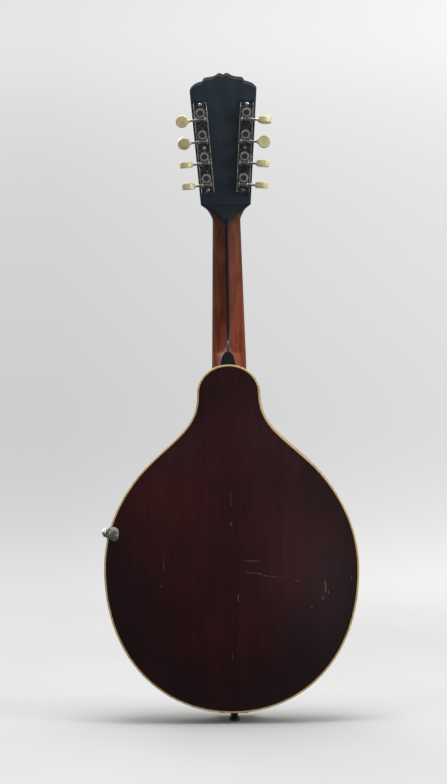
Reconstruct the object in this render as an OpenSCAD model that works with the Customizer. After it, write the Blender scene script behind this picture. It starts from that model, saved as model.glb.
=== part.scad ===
// Carved-top oval-hole mandolin.
// +Z runs up the neck to the headstock, the soundboard faces -Y and +X is the treble side.
// The origin is the outer face of the end pin.

/* [Body] */
// width across the lower bout
body_w = 255.5; // [240:0.5:270]
// length of the sound box from the tail to the neck
body_len = 349; // [335:1:365]
// depth of the rim between the two plates
rim_depth = 38; // [34:0.5:42]
// thickness of both plates at their edge, which is also the height of the binding
plate_edge = 3.6; // [3:0.1:4.5]
// rise of the soundboard arch
top_arch = 13; // [11:0.5:13]
// rise of the back arch
back_arch = 12; // [8:0.5:15]
// thickness of the bent rim
rim_thick = 2.4; // [2:0.1:3]
// width of the binding
binding_w = 1.8; // [1:0.1:2]
// how far the end pin stands out of the rim
pin_len = 11; // [10.5:0.5:13]

/* [Sound hole] */
// width of the oval hole
hole_w = 72; // [62:1:76]
// height of the oval hole
hole_h = 50; // [44:1:52]

/* [Neck] */
// open string length
scale_len = 352.4; // [345:0.1:358]
// width of the neck at the nut
nut_w = 28.2; // [27:0.1:30]
// backward angle of the neck
neck_angle = 5; // [4.5:0.1:5]
// number of frets
fret_count = 20; // [17:1:20]

/* [Headstock] */
// backward pitch of the headstock from the neck
head_pitch = 13; // [10:0.5:15]
// thickness of the headstock core
head_thick = 12.5; // [12:0.1:13]

/* [Tuning machines] */
// distance between neighbouring posts
post_gap = 22; // [21.5:0.1:22.5]
// diameter of a button
button_d = 12.4; // [11.6:0.1:12.8]

/* [Hidden] */
$fn = 48;
tiny = 0.02;
half_w = body_w / 2;
tail_z = pin_len;
heel_z = pin_len + body_len;
rim_y = rim_depth / 2;
face_y = rim_y + plate_edge;
outline_steps = [14, 10, 9, 8];
// one side of the body outline as four curves, in fractions of the half width and of the length
side_curves = [
    [[0, 0], [0.5482, 0], [1, 0.1535], [1, 0.4129]],
    [[1, 0.4129], [1, 0.587], [0.7014, 0.6952], [0.5996, 0.7293]],
    [[0.5996, 0.7293], [0.3829, 0.8018], [0.2465, 0.8308], [0.2465, 0.9173]],
    [[0.2465, 0.9173], [0.2465, 0.963], [0.136, 1], [0, 1]]
];
wide_z = tail_z + 0.4129 * body_len;
hole_z = heel_z - 135;
nut_z = heel_z + 144;
bridge_z = nut_z - scale_len;
head_angle = neck_angle + head_pitch;
nut_len = 4.4;
board_thick = 5;
board_len = 248;
board_flare = 0.0233;
fret_h = 1;
bridge_rise = 15;
string_y = -(face_y + top_arch + bridge_rise);
heel_cap_thick = 2.2;
overlay_thick = 1.6;
veneer_thick = 0.6;
bushing_r = 3.7;
taper = 3.7;
// inner post of each side, in the headstock frame
first_post = [18.65, 45.75];
gear_teeth = 14;
// gear teeth run on a circle of this radius
gear_r = 4.7;
worm_r = 2.3;
tooth_h = 0.5;
tooth_pitch = 2 * PI * gear_r / gear_teeth;
lead = atan(tooth_pitch / (2 * PI * worm_r));
plate_y = head_thick + veneer_thick;
plate_thick = 1.2;
gear_y = plate_y + plate_thick + 2.2;
gear_thick = 2.5;
shaft_y = gear_y + gear_thick / 2;
shaft_r = 1.25;
run_gap = 0.06;
post_r = 2.6;
// resting turn of each button, from the post nearest the nut outwards
treble_turns = [104, 101, -7, 6];
bass_turns = [102, 108, 18, 113];
string_radii = [0.46, 0.33, 0.2, 0.15];
clamp_z = tail_z + 181;

wood = [0.42, 0.16, 0.08];
stain = [0.17, 0.06, 0.06];
spruce = [0.72, 0.42, 0.16];
pale_wood = [0.8, 0.66, 0.45];
black = [0.05, 0.045, 0.045];
cream = [0.86, 0.8, 0.62];
ivory = [0.9, 0.85, 0.68];
pearl = [0.86, 0.88, 0.86];
nickel = [0.55, 0.53, 0.48];
dark_nickel = [0.25, 0.23, 0.2];
bronze = [0.68, 0.5, 0.3];

// Curves and points

function bez(p, t) =
    p[0] * pow(1 - t, 3) + 3 * p[1] * t * pow(1 - t, 2) + 3 * p[2] * t * t * (1 - t) + p[3] * pow(t, 3);

function bez_dir(p, t) =
    (p[1] - p[0]) * pow(1 - t, 2) + 2 * (p[2] - p[1]) * t * (1 - t) + (p[3] - p[2]) * t * t;

function side_point(p) = [p[0] * half_w, tail_z + p[1] * body_len];

// a point of a body side curve moved inwards by d
function inset_point(curve, t, d) =
    let (
        real_curve = [for (p = curve) side_point(p)],
        v = bez_dir(real_curve, t),
        u = v / norm(v)
    )
    bez(real_curve, t) + d * [-u[1], u[0]];

// treble side of the outline from the tail to the neck
function body_side(d) = concat(
    [for (c = [0:3], i = [0:outline_steps[c] - 1]) inset_point(side_curves[c], i / outline_steps[c], d)],
    [inset_point(side_curves[3], 1, d)]
);

function reversed(list) = [for (i = [len(list) - 1:-1:0]) list[i]];
function flipped(list) = [for (p = list) [-p[0], p[1]]];
function body_outline(d) =
    let (side = body_side(d))
    concat(side, [for (p = reversed(flipped(side))) if (p[0] < -tiny) p]);

width_table = [for (p = body_side(0)) [p[1], p[0]]];
function half_width(z) = lookup(z, width_table);

// share of the full arch height at a point of a plate
function arch(x, z) =
    z < wide_z
        ? pow(max(0, 1 - pow(x / half_w, 2) - pow((wide_z - z) / (wide_z - tail_z), 2)), 1.5)
        : let (q = min(1, (z - wide_z) / (heel_z - wide_z)))
          pow(max(0, 1 - pow(x / max(1, half_width(z)), 2)), 1.5)
              * max(0, 1 - 1.6 * q * q + 0.6 * pow(q, 3));

plate_growth = 1.2;
function outer_y(x, z, rise) = face_y + rise * arch(x, z);
function inner_y(x, z, rise) = rim_y + max(0, rise * arch(x, z) - plate_growth);

// front plane of the neck, which carries the fingerboard
function neck_y(z) = -(face_y + 0.4) + (z - heel_z + 2) * tan(neck_angle);
function board_half(z) = nut_w / 2 + board_flare * (nut_z - z);

head_origin = [0, neck_y(nut_z + nut_len + 0.3), nut_z + nut_len + 0.3];
function from_head(p) = head_origin + [
    p[0],
    p[1] * cos(head_angle) + p[2] * sin(head_angle),
    p[2] * cos(head_angle) - p[1] * sin(head_angle)
];

nut_origin = [0, neck_y(nut_z), nut_z];
function from_neck(p) = nut_origin + [
    p[0],
    p[1] * cos(neck_angle) + p[2] * sin(neck_angle),
    p[2] * cos(neck_angle) - p[1] * sin(neck_angle)
];

function post_place(k) =
    first_post + (3 - k) * post_gap * [sin(taper), cos(taper)];

// Frames

module upright(y0, y1) {
    translate([0, y1, 0]) rotate([90, 0, 0]) linear_extrude(height = y1 - y0) children();
}

module in_neck() {
    translate(nut_origin) rotate([-neck_angle, 0, 0]) children();
}

module in_head() {
    translate(head_origin) rotate([-head_angle, 0, 0]) children();
}

// frame of a post: X points out of the headstock's side, Y to its back and Z to its tip
module at_post(k, side) {
    place = post_place(k);
    in_head() mirror([side < 0 ? 1 : 0, 0, 0])
        translate([place[0], 0, place[1]]) rotate([0, taper, 0]) children();
}

module every_post() {
    for (side = [-1, 1], k = [0:3]) at_post(k, side) children();
}

// a cylinder that stands on its front end and points to the back of the instrument
module backwards(y0, y1, r) {
    translate([0, y0, 0]) rotate([-90, 0, 0]) cylinder(r = r, h = y1 - y0);
}

module rod(from, to, r) {
    v = to - from;
    translate(from) rotate([0, acos(v[2] / norm(v)), atan2(v[1], v[0])]) cylinder(r = r, h = norm(v));
}

// a closed surface through rings of points, with a fan at each end or joined up into a loop
module skin(rings, looped = false) {
    n = len(rings[0]);
    m = len(rings);
    function mean(ring) = [for (a = [0:2]) ([for (p = ring) 1] * [for (p = ring) p[a]]) / n];
    strips = [
        for (k = [0:m - (looped ? 1 : 2)], i = [0:n - 1])
            let (a = k * n + i, b = k * n + (i + 1) % n, up = (k + 1) % m * n)
            each [[a, b, up + (i + 1) % n], [a, up + (i + 1) % n, up + i]]
    ];
    fans = looped ? [] : [
        for (i = [0:n - 1])
            each [[m * n, (i + 1) % n, i], [m * n + 1, (m - 1) * n + i, (m - 1) * n + (i + 1) % n]]
    ];
    ends = looped ? [] : [mean(rings[0]), mean(rings[m - 1])];
    polyhedron(points = concat([for (r = rings) each r], ends), faces = concat(strips, fans));
}

// Sound box

plate_rings = [0, 0.05, 0.11, 0.18, 0.27, 0.38, 0.5, 0.64, 0.8];
hole_rings = [0, 0.05, 0.12, 0.2, 0.3, 0.42, 0.56, 0.71, 0.86, 1];

module back_plate() {
    edge = body_outline(binding_w + tiny);
    middle = [0, tail_z + 0.45 * body_len];
    inner = [for (t = reversed(plate_rings)) [for (p = edge)
        let (q = p * (1 - t) + middle * t) [q[0], inner_y(q[0], q[1], back_arch), q[1]]]];
    outer = [for (t = plate_rings) [for (p = edge)
        let (q = p * (1 - t) + middle * t) [q[0], outer_y(q[0], q[1], back_arch), q[1]]]];
    color(stain) skin(concat(inner, outer));
}

// the point of the sound hole's edge that faces a point of the outline
function hole_point(p) =
    let (v = p - [0, hole_z])
    [0, hole_z] + v / norm([2 * v[0] / hole_w, 2 * v[1] / hole_h]);

module soundboard() {
    edge = body_outline(binding_w + tiny);
    function ring(t, inside) = [for (p = edge)
        let (
            q = p * (1 - t) + hole_point(p) * t,
            y = inside ? inner_y(q[0], q[1], top_arch) : outer_y(q[0], q[1], top_arch)
        )
        [q[0], -y, q[1]]];
    color(spruce) skin(concat(
        [for (t = hole_rings) ring(t, true)],
        [for (t = reversed(hole_rings)) ring(t, false)]
    ), true);
}

module rim() {
    color(stain) difference() {
        upright(-rim_y, rim_y) polygon(body_outline(0));
        upright(-rim_y - 1, rim_y + 1) polygon(body_outline(rim_thick));
        dovetail_space();
        translate([0, 0, tail_z - 1]) cylinder(r = pin_stem_r, h = 6);
    }
}

module body_binding() {
    color(cream) for (y0 = [-face_y, rim_y]) difference() {
        upright(y0, y0 + plate_edge) polygon(body_outline(0));
        upright(y0 - 1, y0 + plate_edge + 1) polygon(body_outline(binding_w));
    }
}

lining_w = 5;
lining_h = 7;
block_len = 26;

module block_zone(gap) {
    upright(-rim_y - 1, rim_y + 1) {
        translate([-half_w, heel_z - block_len - 6 - gap]) square([body_w, 60]);
        translate([-30 - gap, tail_z - 1]) square([60 + 2 * gap, 24 + gap]);
    }
}

module linings() {
    color(pale_wood) difference() {
        for (y0 = [-rim_y, rim_y - lining_h]) difference() {
            upright(y0, y0 + lining_h) polygon(body_outline(rim_thick));
            upright(y0 - 1, y0 + lining_h + 1) polygon(body_outline(rim_thick + lining_w));
        }
        block_zone(0.3);
    }
}

tenon_top = 0.5;
// tenon of the neck, with the same flared plan through its height
module dovetail(gap) {
    back_w = 9;
    front_w = 7;
    reach = 14;
    upright(-rim_y, 16) polygon([
        [-front_w - gap, heel_z + tenon_top], [front_w + gap, heel_z + tenon_top],
        [back_w + gap, heel_z - reach - gap], [-back_w - gap, heel_z - reach - gap]
    ]);
}

module dovetail_space() {
    dovetail(0.05);
}

module head_block() {
    color(pale_wood) difference() {
        intersection() {
            upright(-rim_y, rim_y) polygon(body_outline(rim_thick));
            upright(-rim_y, rim_y)
                translate([-half_w, heel_z - block_len - 6]) square([body_w, 60]);
        }
        dovetail_space();
    }
}

pin_stem_r = 3.2;

module tail_block() {
    color(pale_wood) difference() {
        intersection() {
            upright(-rim_y, rim_y) polygon(body_outline(rim_thick));
            upright(-rim_y, rim_y) translate([-30, tail_z]) square([60, 22]);
        }
        translate([0, 0, tail_z - 1]) cylinder(r = pin_stem_r, h = 40);
    }
}

brace_z = tail_z + 168;
brace_w = 7;

module top_brace() {
    reach = 100;
    steps = 16;
    lowest = [for (i = [-steps:steps])
        let (x = reach * i / steps)
        [x, -min(inner_y(x, brace_z - brace_w / 2, top_arch), inner_y(x, brace_z + brace_w / 2, top_arch))
            + 0.1]];
    color(spruce) translate([0, 0, brace_z - brace_w / 2]) linear_extrude(height = brace_w)
        polygon(concat(lowest, [[reach, -rim_y + 1.5], [reach - 26, -rim_y + 5], [26 - reach, -rim_y + 5],
            [-reach, -rim_y + 1.5]]));
}

// Two thin rings that follow the arch around the sound hole, standing just proud of it
module sound_hole_rings() {
    points = 40;
    module band(out0, out1, proud) {
        function oval(out, lift) = [for (i = [0:points - 1])
            let (
                x = (hole_w / 2 + out) * cos(360 * i / points),
                z = hole_z + (hole_h / 2 + out) * sin(360 * i / points)
            )
            [x, -outer_y(x, z, top_arch) - lift, z]];
        skin([oval(out0, 0.1), oval(out0, proud), oval(out1, proud), oval(out1, 0.1)], true);
    }
    color(cream) {
        band(2.2, 3.6, 0.35);
        band(4, 5.2, 0.35);
    }
}

// Neck

ring_steps = 8;
// what is deeper than this is the narrow fin of the heel
shaft_depth = 19.5;
fin_power = 14;
// one ring of the neck: half width, half width of the flat along the ridge, depth and roundness
function neck_half_ring(s) = [for (i = [0:ring_steps])
    let (a = 90 * i / ring_steps, fin = max(0, s[2] - shaft_depth))
    [s[1] + (s[0] - s[1]) * pow(cos(a), 2 / s[3]),
     (s[2] - fin) * pow(sin(a), 2 / s[3]) + fin * pow(sin(a), fin_power)]];
function neck_ring(s) =
    let (half = neck_half_ring(s))
    concat(half, [for (p = reversed(half)) [-p[0], p[1]]]);

heel_depth = face_y - heel_cap_thick;
// distance above the body, ridge half width, depth (0 means as deep as the heel cap) and roundness
shaft_sections = [
    [-9, 7.25, 0, 1.3], [0, 7.25, 0, 1.3], [4, 6.87, 0, 1.3], [8, 5.77, 0, 1.3],
    [10.5, 4.41, 0, 1.3], [12, 2.97, 0, 1.3], [12.9, 1.3, 0, 1.3], [13.6, 1, 41.5, 1.3],
    [14.6, 1, 38, 1.3], [16.6, 1, 32, 1.3], [19.6, 1, 27, 1.3], [24, 1, 22.6, 1.3],
    [30, 1, 20.2, 1.35], [38, 1, 18.6, 1.4], [50, 1, 17.7, 1.45], [80, 1, 16.8, 1.45],
    [116, 1, 15.7, 1.5], [138, 1, 15, 1.6]
];
// distance above the nut, half width, depth and roundness
flare_sections = [
    [0, 14.4, 14.3, 1.75], [2.6, 15.4, 13.9, 1.9], [5.7, 16.7, 13.3, 2.3], [8.8, 18.3, 12.9, 3],
    [11.8, 20.3, 12.6, 4.5], [13.6, 21.8, 12.5, 7], [14.9, 23.2, 12.5, 10],
    [16.5, 25.1, 12.45, 14], [19, 24.9, 12.4, 14]
];
flare_side = [for (s = flare_sections) if (s[0] < 17) [s[1], s[0]]];

module neck_blank() {
    shaft = [for (s = shaft_sections)
        let (z = heel_z + s[0], depth = s[2] == 0 ? heel_depth - neck_y(z) : s[2])
        [for (p = neck_ring([board_half(z), s[1], depth, s[3]])) [p[0], neck_y(z) + p[1], z]]];
    flare = [for (s = flare_sections)
        [for (p = neck_ring([s[1], 1, s[2] * head_thick / 12.5, s[3]])) from_head([p[0], p[1], s[0]])]];
    skin(reversed(concat(shaft, flare)));
}

// treble half of the headstock's top edge: shoulder, step, dip and centre bump
function crown_side() = concat(
    [for (i = [0:5]) bez([[33.15, 132.8], [30.6, 137.4], [26, 139.1], [21.2, 140]], i / 5)],
    [[19.9, 142.4]],
    [for (i = [0:4]) bez([[17.9, 143.8], [13, 144], [9, 144.6], [6.2, 146.8]], i / 4)],
    [[4.4, 147.8], [2.6, 147.8], [1, 147]]
);

module head_plan(flare) {
    low = flare ? flare_side : [[25.15, 17.2]];
    side = concat(low, crown_side());
    polygon(concat(side, [[0, 146.4]], reversed(flipped(side))));
}

strip_wide = 1.5;
strip_narrow = 0.85;
strip_low = heel_z + tenon_top + tiny;
strip_high = nut_z + 3;
module strip_wedge(gap) {
    upright(-60, 60) polygon([
        [strip_narrow + gap, strip_low - gap], [strip_wide + gap, strip_high + gap],
        [-strip_wide - gap, strip_high + gap], [-strip_narrow - gap, strip_low - gap]
    ]);
}

module neck() {
    color(wood) {
        difference() {
            union() {
                neck_blank();
                in_head() upright(0, head_thick) head_plan(false);
            }
            upright(-60, 60) polygon(body_outline(-tiny));
            strip_wedge(tiny);
            every_post() backwards(-1, head_thick + 1, bushing_r + tiny);
        }
        dovetail(0);
    }
}

module neck_center_strip() {
    color(black) intersection() {
        neck_blank();
        strip_wedge(0);
    }
}

// a round-topped arch whose foot follows the rounded end of the body
module heel_cap() {
    low = heel_z - 2;
    side = [for (i = [0:8])
        bez([[7.25, heel_z], [7.1, heel_z + 6.5], [4.8, heel_z + 12.8], [0, heel_z + 13.2]], i / 8)];
    color(black) upright(heel_depth + tiny, face_y) difference() {
        polygon(concat([[7.25, low]], side, reversed([for (p = flipped(side)) if (p[0] < -tiny) p]),
            [[-7.25, low]]));
        polygon(body_outline(-0.05));
    }
}

module headstock_overlay() {
    color(black) difference() {
        in_head() difference() {
            upright(-overlay_thick, -tiny) intersection() {
                head_plan(true);
                translate([-50, 0.3]) square([100, 200]);
            }
            inlay_shapes(-overlay_thick - 1, -overlay_thick + 0.8, tiny);
        }
        every_post() backwards(-4, 1, bushing_r + tiny);
    }
}

module headstock_back_veneer() {
    color(black) difference() {
        in_head() upright(head_thick + tiny, plate_y) head_plan(false);
        every_post() backwards(0, 20, bushing_r + tiny);
    }
}

// a plain diamond between two dots
module inlay_shapes(y0, y1, gap) {
    upright(y0, y1) {
        polygon([[0, 108 - gap], [5 + gap, 118], [0, 128 + gap], [-5 - gap, 118]]);
        for (z = [100, 136]) translate([0, z]) circle(r = 2 + gap, $fn = 32);
    }
}

dot_frets = [5, 7, 10, 12, 15];
function fret_at(k) = -scale_len * (1 - pow(2, -k / 12));
function dot_at(k) = (fret_at(k) + fret_at(k - 1)) / 2;

module dot_shapes(y0, y1, r) {
    in_neck() for (k = dot_frets)
        for (x = k == 12 ? [-5, 5] : [0]) translate([x, 0, dot_at(k)]) backwards(y0, y1, r);
}

module pearl_inlays() {
    color(pearl) {
        in_head() inlay_shapes(-overlay_thick, -overlay_thick + 0.78, 0);
        dot_shapes(-board_thick, -board_thick + 0.78, 2.4);
    }
}

module fingerboard() {
    color(black) difference() {
        in_neck() difference() {
            upright(-board_thick, 0) polygon([
                [nut_w / 2, -0.05], [-nut_w / 2, -0.05],
                [-board_half(nut_z - board_len), -board_len], [board_half(nut_z - board_len), -board_len]
            ]);
            pin_pair(0.65);
        }
        dot_shapes(-board_thick - 1, -board_thick + 0.8, 2.42);
    }
}

module frets() {
    crown = 1.1;
    color(nickel) in_neck() for (k = [1:fret_count]) {
        w = board_half(nut_z + fret_at(k)) - 0.5;
        translate([-w, -board_thick - tiny, fret_at(k)]) rotate([0, 90, 0])
            linear_extrude(height = 2 * w) intersection() {
                translate([0, 0.1]) circle(r = crown, $fn = 24);
                translate([-2, -4]) square([4, 4]);
            }
    }
}

// Strings

function string_x(j, outer, pair) = let (side = j < 4 ? -1 : 1, m = j < 4 ? j : 7 - j)
    side * (m < 2 ? outer : outer / 3) + (j % 2 == 0 ? -pair : pair);
function string_r(j) = string_radii[floor(j / 2)];
// the outer strings of each side go to the posts nearest the nut
function post_of(j) = j < 4 ? j : 7 - j;
// winding heights in front of the headstock alternate so that neighbours pass clear
function wind_y(k) = k % 2 == 1 ? -9.2 : -5;
coil_turns = 3;

function nut_point(j) =
    from_neck([string_x(j, 10.6, 1.1), -board_thick - fret_h - 0.35 - string_r(j), nut_len / 2]);
function bridge_point(j) = [string_x(j, 19.2, 1.5), string_y - string_r(j), bridge_z];
function hook_point(j) = [string_x(j, 13.5, 1.7), -(face_y + 7.2), tail_z + 16];
function coil_radius(j) = post_r + 0.08 + string_r(j);
function coil_end(j) =
    let (side = j < 4 ? -1 : 1, k = post_of(j), place = post_place(3 - k))
    from_head([side * (place[0] - coil_radius(j)), wind_y(k) - 2 * string_r(j) - 0.1, place[1]]);

module strings() {
    color(bronze) for (j = [0:7]) {
        r = string_r(j);
        path = [hook_point(j) + [0, 0, 1.5 + r], bridge_point(j), nut_point(j), coil_end(j)];
        for (i = [0:2]) rod(path[i], path[i + 1], r);
        for (i = [1:2]) translate(path[i]) sphere(r = r * 1.05);
        translate(hook_point(j)) rotate([90 + 10, 0, 0])
            rotate_extrude() translate([1.5, 0]) circle(r = r, $fn = 24);
        at_post(3 - post_of(j), j < 4 ? -1 : 1) for (t = [0:coil_turns - 1])
            translate([0, wind_y(post_of(j)) + t * (2 * r + 0.04), 0]) rotate([90, 0, 0])
                rotate_extrude() translate([coil_radius(j), 0]) circle(r = r, $fn = 24);
    }
}

module nut() {
    color(ivory) difference() {
        in_neck() translate([-nut_w / 2, -board_thick - fret_h - 1, tiny])
            cube([nut_w, board_thick + fret_h + 1 - tiny, nut_len]);
        for (j = [0:7]) {
            c = nut_point(j);
            rod(bridge_point(j), c, string_r(j) + 0.04);
            rod(c, coil_end(j), string_r(j) + 0.04);
            translate(c) sphere(r = string_r(j) * 1.05 + 0.05);
        }
    }
}

module bridge() {
    reach = 54;
    foot_in = 24;
    steps = 12;
    top = 26;
    half_len = 4.2;
    sole = [for (i = [-steps:steps])
        let (x = reach * i / steps)
        [x, -outer_y(x, bridge_z + half_len, top_arch) - 0.08]];
    color(black) difference() {
        translate([0, 0, bridge_z - half_len]) linear_extrude(height = 2 * half_len) polygon(concat(
            sole,
            [[reach, sole[2 * steps][1] - 3.5], [40, -face_y - top_arch - 2.5], [top + 5, string_y + 3],
             [top, string_y], [-top, string_y], [-top - 5, string_y + 3],
             [-40, -face_y - top_arch - 2.5], [-reach, sole[0][1] - 3.5]]
        ));
        // the underside is arched between the two feet
        translate([-foot_in, -face_y - top_arch - 1.6, bridge_z - 6]) cube([2 * foot_in, 6, 12]);
        // both faces lean in to a narrow crown
        for (face = [-1, 1]) translate([-60, string_y - 1, bridge_z + face * 1.6])
            rotate([face * 13, 0, 0])
            translate([0, 0, face > 0 ? 0 : -8]) cube([120, 12, 8]);
        for (j = [0:7]) {
            rod(hook_point(j) + [0, 0, 1.5 + string_r(j)], bridge_point(j), string_r(j) + 0.04);
            rod(bridge_point(j), nut_point(j), string_r(j) + 0.04);
            translate(bridge_point(j)) sphere(r = string_r(j) * 1.05 + 0.05);
        }
    }
}

// Tail

hook_deck_y = face_y + 4.2;
tail_skin = 1;

module tailpiece() {
    color(nickel) difference() {
        union() {
            translate([-19, -hook_deck_y - tail_skin, tail_z - 2.2]) cube([38, tail_skin, 26]);
            translate([-14, -hook_deck_y - 0.5, tail_z - 2.2]) cube([28, hook_deck_y + 8, 1.1]);
            for (j = [0:7]) translate([hook_point(j)[0], 0, hook_point(j)[2]])
                backwards(-hook_deck_y - 4.6, -hook_deck_y - 0.5, 0.95);
        }
        translate([0, 0, tail_z - 4]) cylinder(r = pin_stem_r, h = 8);
        for (p = tail_screw_places) translate([p[0], p[1], tail_z - 4]) cylinder(r = 1.25, h = 8);
    }
}

tail_screw_places = [[-9, -17], [9, -17], [0, -13]];

module tailpiece_screws() {
    color(nickel) for (p = tail_screw_places) translate([p[0], p[1], 0]) {
        translate([0, 0, tail_z - 3.4]) difference() {
            cylinder(r = 2.1, h = 1.15);
            translate([-3, -0.3, -1]) cube([6, 0.6, 1.4]);
        }
        translate([0, 0, tail_z - 2.4]) cylinder(r = 1.15, h = 2);
    }
}

// a plain domed shell, open towards the bridge and on its underside
cover_len = 44;
module tailpiece_cover() {
    half = 22.5;
    corner = 6;
    deck = hook_deck_y + 9.6;
    wall_h = deck - hook_deck_y - 0.6;
    module shell_plan(inset) {
        translate([-half + corner, -deck + inset]) square([2 * (half - corner), wall_h - inset]);
        translate([-half + inset, -deck + corner]) square([2 * (half - inset), wall_h - corner]);
        for (x = [corner - half, half - corner]) translate([x, corner - deck])
            circle(r = corner - inset);
    }
    color(nickel) difference() {
        union() {
            translate([0, 0, tail_z - 4]) linear_extrude(height = cover_len) shell_plan(0);
            for (x = [-11, 0, 11]) translate([x, -deck, tail_z + 2]) cylinder(r = 0.9, h = 30);
        }
        translate([0, 0, tail_z - 3]) linear_extrude(height = cover_len + 10) {
            shell_plan(1);
            translate([1 - half, -deck + corner]) square([2 * half - 2, wall_h]);
        }
        // the mouth is cut in a shallow arch
        translate([0, 0, tail_z + cover_len + 18]) rotate([90, 0, 0])
            cylinder(r = 26, h = 2 * deck, $fn = 64);
    }
}

module end_pin() {
    color(black) {
        rotate_extrude() polygon([
            [0, 0], [4.7, 0], [5.7, 0.6], [6, 1.6], [5.7, 2.7], [4.5, 3.8], [3.7, 5], [3.6, 6],
            [4.2, 7.4], [4.6, 8.2], [4.6, 8.6], [pin_stem_r - 0.05, 8.7], [pin_stem_r - 0.05, tail_z + 20],
            [0, tail_z + 20]
        ]);
    }
}

// Pickguard and its side clamp

guard_top = -4.6;
guard_thick = 1.6;
guard_x = 21.6;
function guard_side() = concat(
    [for (i = [0:5]) bez([[guard_x, -206], [34, -204], [46, -214], [62, -240]], i / 5)],
    [for (i = [1:6]) bez([[62, -240], [80, -268], [104, -282], [110, -304]], i / 6)],
    [for (i = [1:7]) bez([[110, -304], [115, -326], [92, -346], [60, -343]], i / 7)],
    [for (i = [1:4]) bez([[60, -343], [44, -342], [31, -338], [28, -330]], i / 4)]
);

module pin_pair(r) {
    for (z = [-216, -238]) translate([18, guard_top + guard_thick / 2, z]) rotate([0, 90, 0])
        cylinder(r = r, h = 7);
}

rivet_x = [94, 104];

module pickguard() {
    color(black) difference() {
        in_neck() difference() {
            upright(guard_top, guard_top + guard_thick) polygon(concat(
                guard_side(), [[guard_x, -252]]
            ));
            pin_pair(0.65);
        }
        for (x = rivet_x) translate([x, 0, clamp_z]) backwards(-60, -30, 1.35);
    }
}

module pickguard_pins() {
    color(nickel) in_neck() pin_pair(0.6);
}

strap_half = 4;
// the strap stands just clear of the rim, which is widest at the strap's lower edge
strap_x = half_width(clamp_z - strap_half) + 0.03;
arm_y = neck_y(clamp_z + strap_half) + guard_top + guard_thick + 0.1;

module pickguard_bracket() {
    color(nickel) difference() {
        union() {
            translate([88, arm_y, clamp_z - strap_half]) cube([strap_x + 1.9 - 88, 1, 2 * strap_half]);
            translate([strap_x + 1, arm_y, clamp_z - strap_half]) cube([0.9, 10 - arm_y, 2 * strap_half]);
            for (x = rivet_x) translate([x, 0, clamp_z]) {
                backwards(arm_y - 3.2, arm_y + 1.5, 1.3);
            }
        }
        translate([strap_x, 0, clamp_z]) rotate([0, 90, 0]) cylinder(r = 1.7, h = 4);
    }
}

module clamp_foot() {
    foot_x = strap_x - 6.8;
    color(nickel) {
        translate([strap_x, -6, clamp_z - strap_half]) cube([0.9, face_y + 9, 2 * strap_half]);
        translate([foot_x, face_y + 1.3, clamp_z - strap_half]) cube([7.7, 1, 2 * strap_half]);
        intersection() {
            translate([foot_x, face_y + 1.25, clamp_z]) rotate([-90, 0, 0]) linear_extrude(height = 3)
                union() {
                    for (z = [-2.1, 2.1]) translate([0, z]) circle(r = 4.9);
                    translate([-4.9, -2.1]) square([9.8, 4.2]);
                }
            translate([foot_x, face_y + 2.9 - 13, clamp_z]) sphere(r = 13.6);
        }
        translate([strap_x + 0.5, 0, clamp_z]) rotate([0, 90, 0]) cylinder(r = 1.5, h = 6.6);
    }
}

module clamp_nut() {
    knurls = 20;
    nut_r = 4.5;
    translate([strap_x + 2.2, 0, clamp_z]) rotate([0, 90, 0]) color(nickel) difference() {
        union() {
            cylinder(r = 3.1, h = 4.2);
            translate([0, 0, 0.7]) cylinder(r = nut_r, h = 2.8);
        }
        translate([0, 0, -1]) cylinder(r = 1.5 + run_gap, h = 8);
        for (i = [0:knurls - 1]) rotate([0, 0, 360 * i / knurls]) translate([nut_r + 0.25, 0, 0])
            cylinder(r = 0.5, h = 5, $fn = 6);
    }
}

// Tuning machines

plate_half = 6.8;
lug_at = 3.5;
lug_thick = 1.2;
worm_drop = gear_r + worm_r;

plate_low = -16;
plate_high = 3 * post_gap + 9.8;
plate_screws = [-13.2, post_gap + 7.7, 3 * post_gap + 7.3];

// a long plate whose two ends are cut in five small scallops
module plate_plan() {
    outer_lobe = 5.4;
    translate([-plate_half, plate_low]) square([2 * plate_half, plate_high - plate_low]);
    for (x = outer_lobe * [-1, -0.5, 0, 0.5, 1]) {
        reach = pow(x / outer_lobe, 2) - 0.2;
        translate([x, plate_high + reach]) circle(r = 1.4);
        translate([x, plate_low - reach - 0.4]) circle(r = 1.4);
    }
}

// a bead along each long edge of the plate
module plate_beads() {
    for (x = [-1, 1] * (plate_half - 0.55)) translate([x, plate_y + plate_thick, plate_low + 0.5])
        cylinder(r = 0.5, h = plate_high - plate_low - 1);
}

module tuner_plate(side) {
    color(dark_nickel) {
        difference() {
            union() {
                at_post(3, side) upright(plate_y + tiny, plate_y + plate_thick) plate_plan();
                at_post(3, side) plate_beads();
                for (k = [0:3]) at_post(k, side) for (end = [-1, 1])
                    translate([end * (lug_at + lug_thick / 2) - lug_thick / 2, 0, -worm_drop]) lug();
            }
            for (k = [0:3]) at_post(k, side) {
                backwards(10, 16, 2.2 + run_gap);
                translate([-10, shaft_y, -worm_drop]) rotate([0, 90, 0])
                    cylinder(r = shaft_r + run_gap, h = 20);
            }
            at_post(3, side) for (z = plate_screws) translate([0, 0, z]) backwards(10, 20, 1.2);
        }
    }
}

module lug() {
    low = plate_y + plate_thick - 0.2;
    translate([0, low, -2]) cube([lug_thick, shaft_y - low, 4]);
    translate([0, shaft_y, 0]) rotate([0, 90, 0]) cylinder(r = 2.2, h = lug_thick);
    for (z = [-2.2, 2.2]) translate([0, low + 0.9, z]) rotate([0, 90, 0])
        cylinder(r = 1, h = lug_thick, $fn = 24);
}

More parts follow.
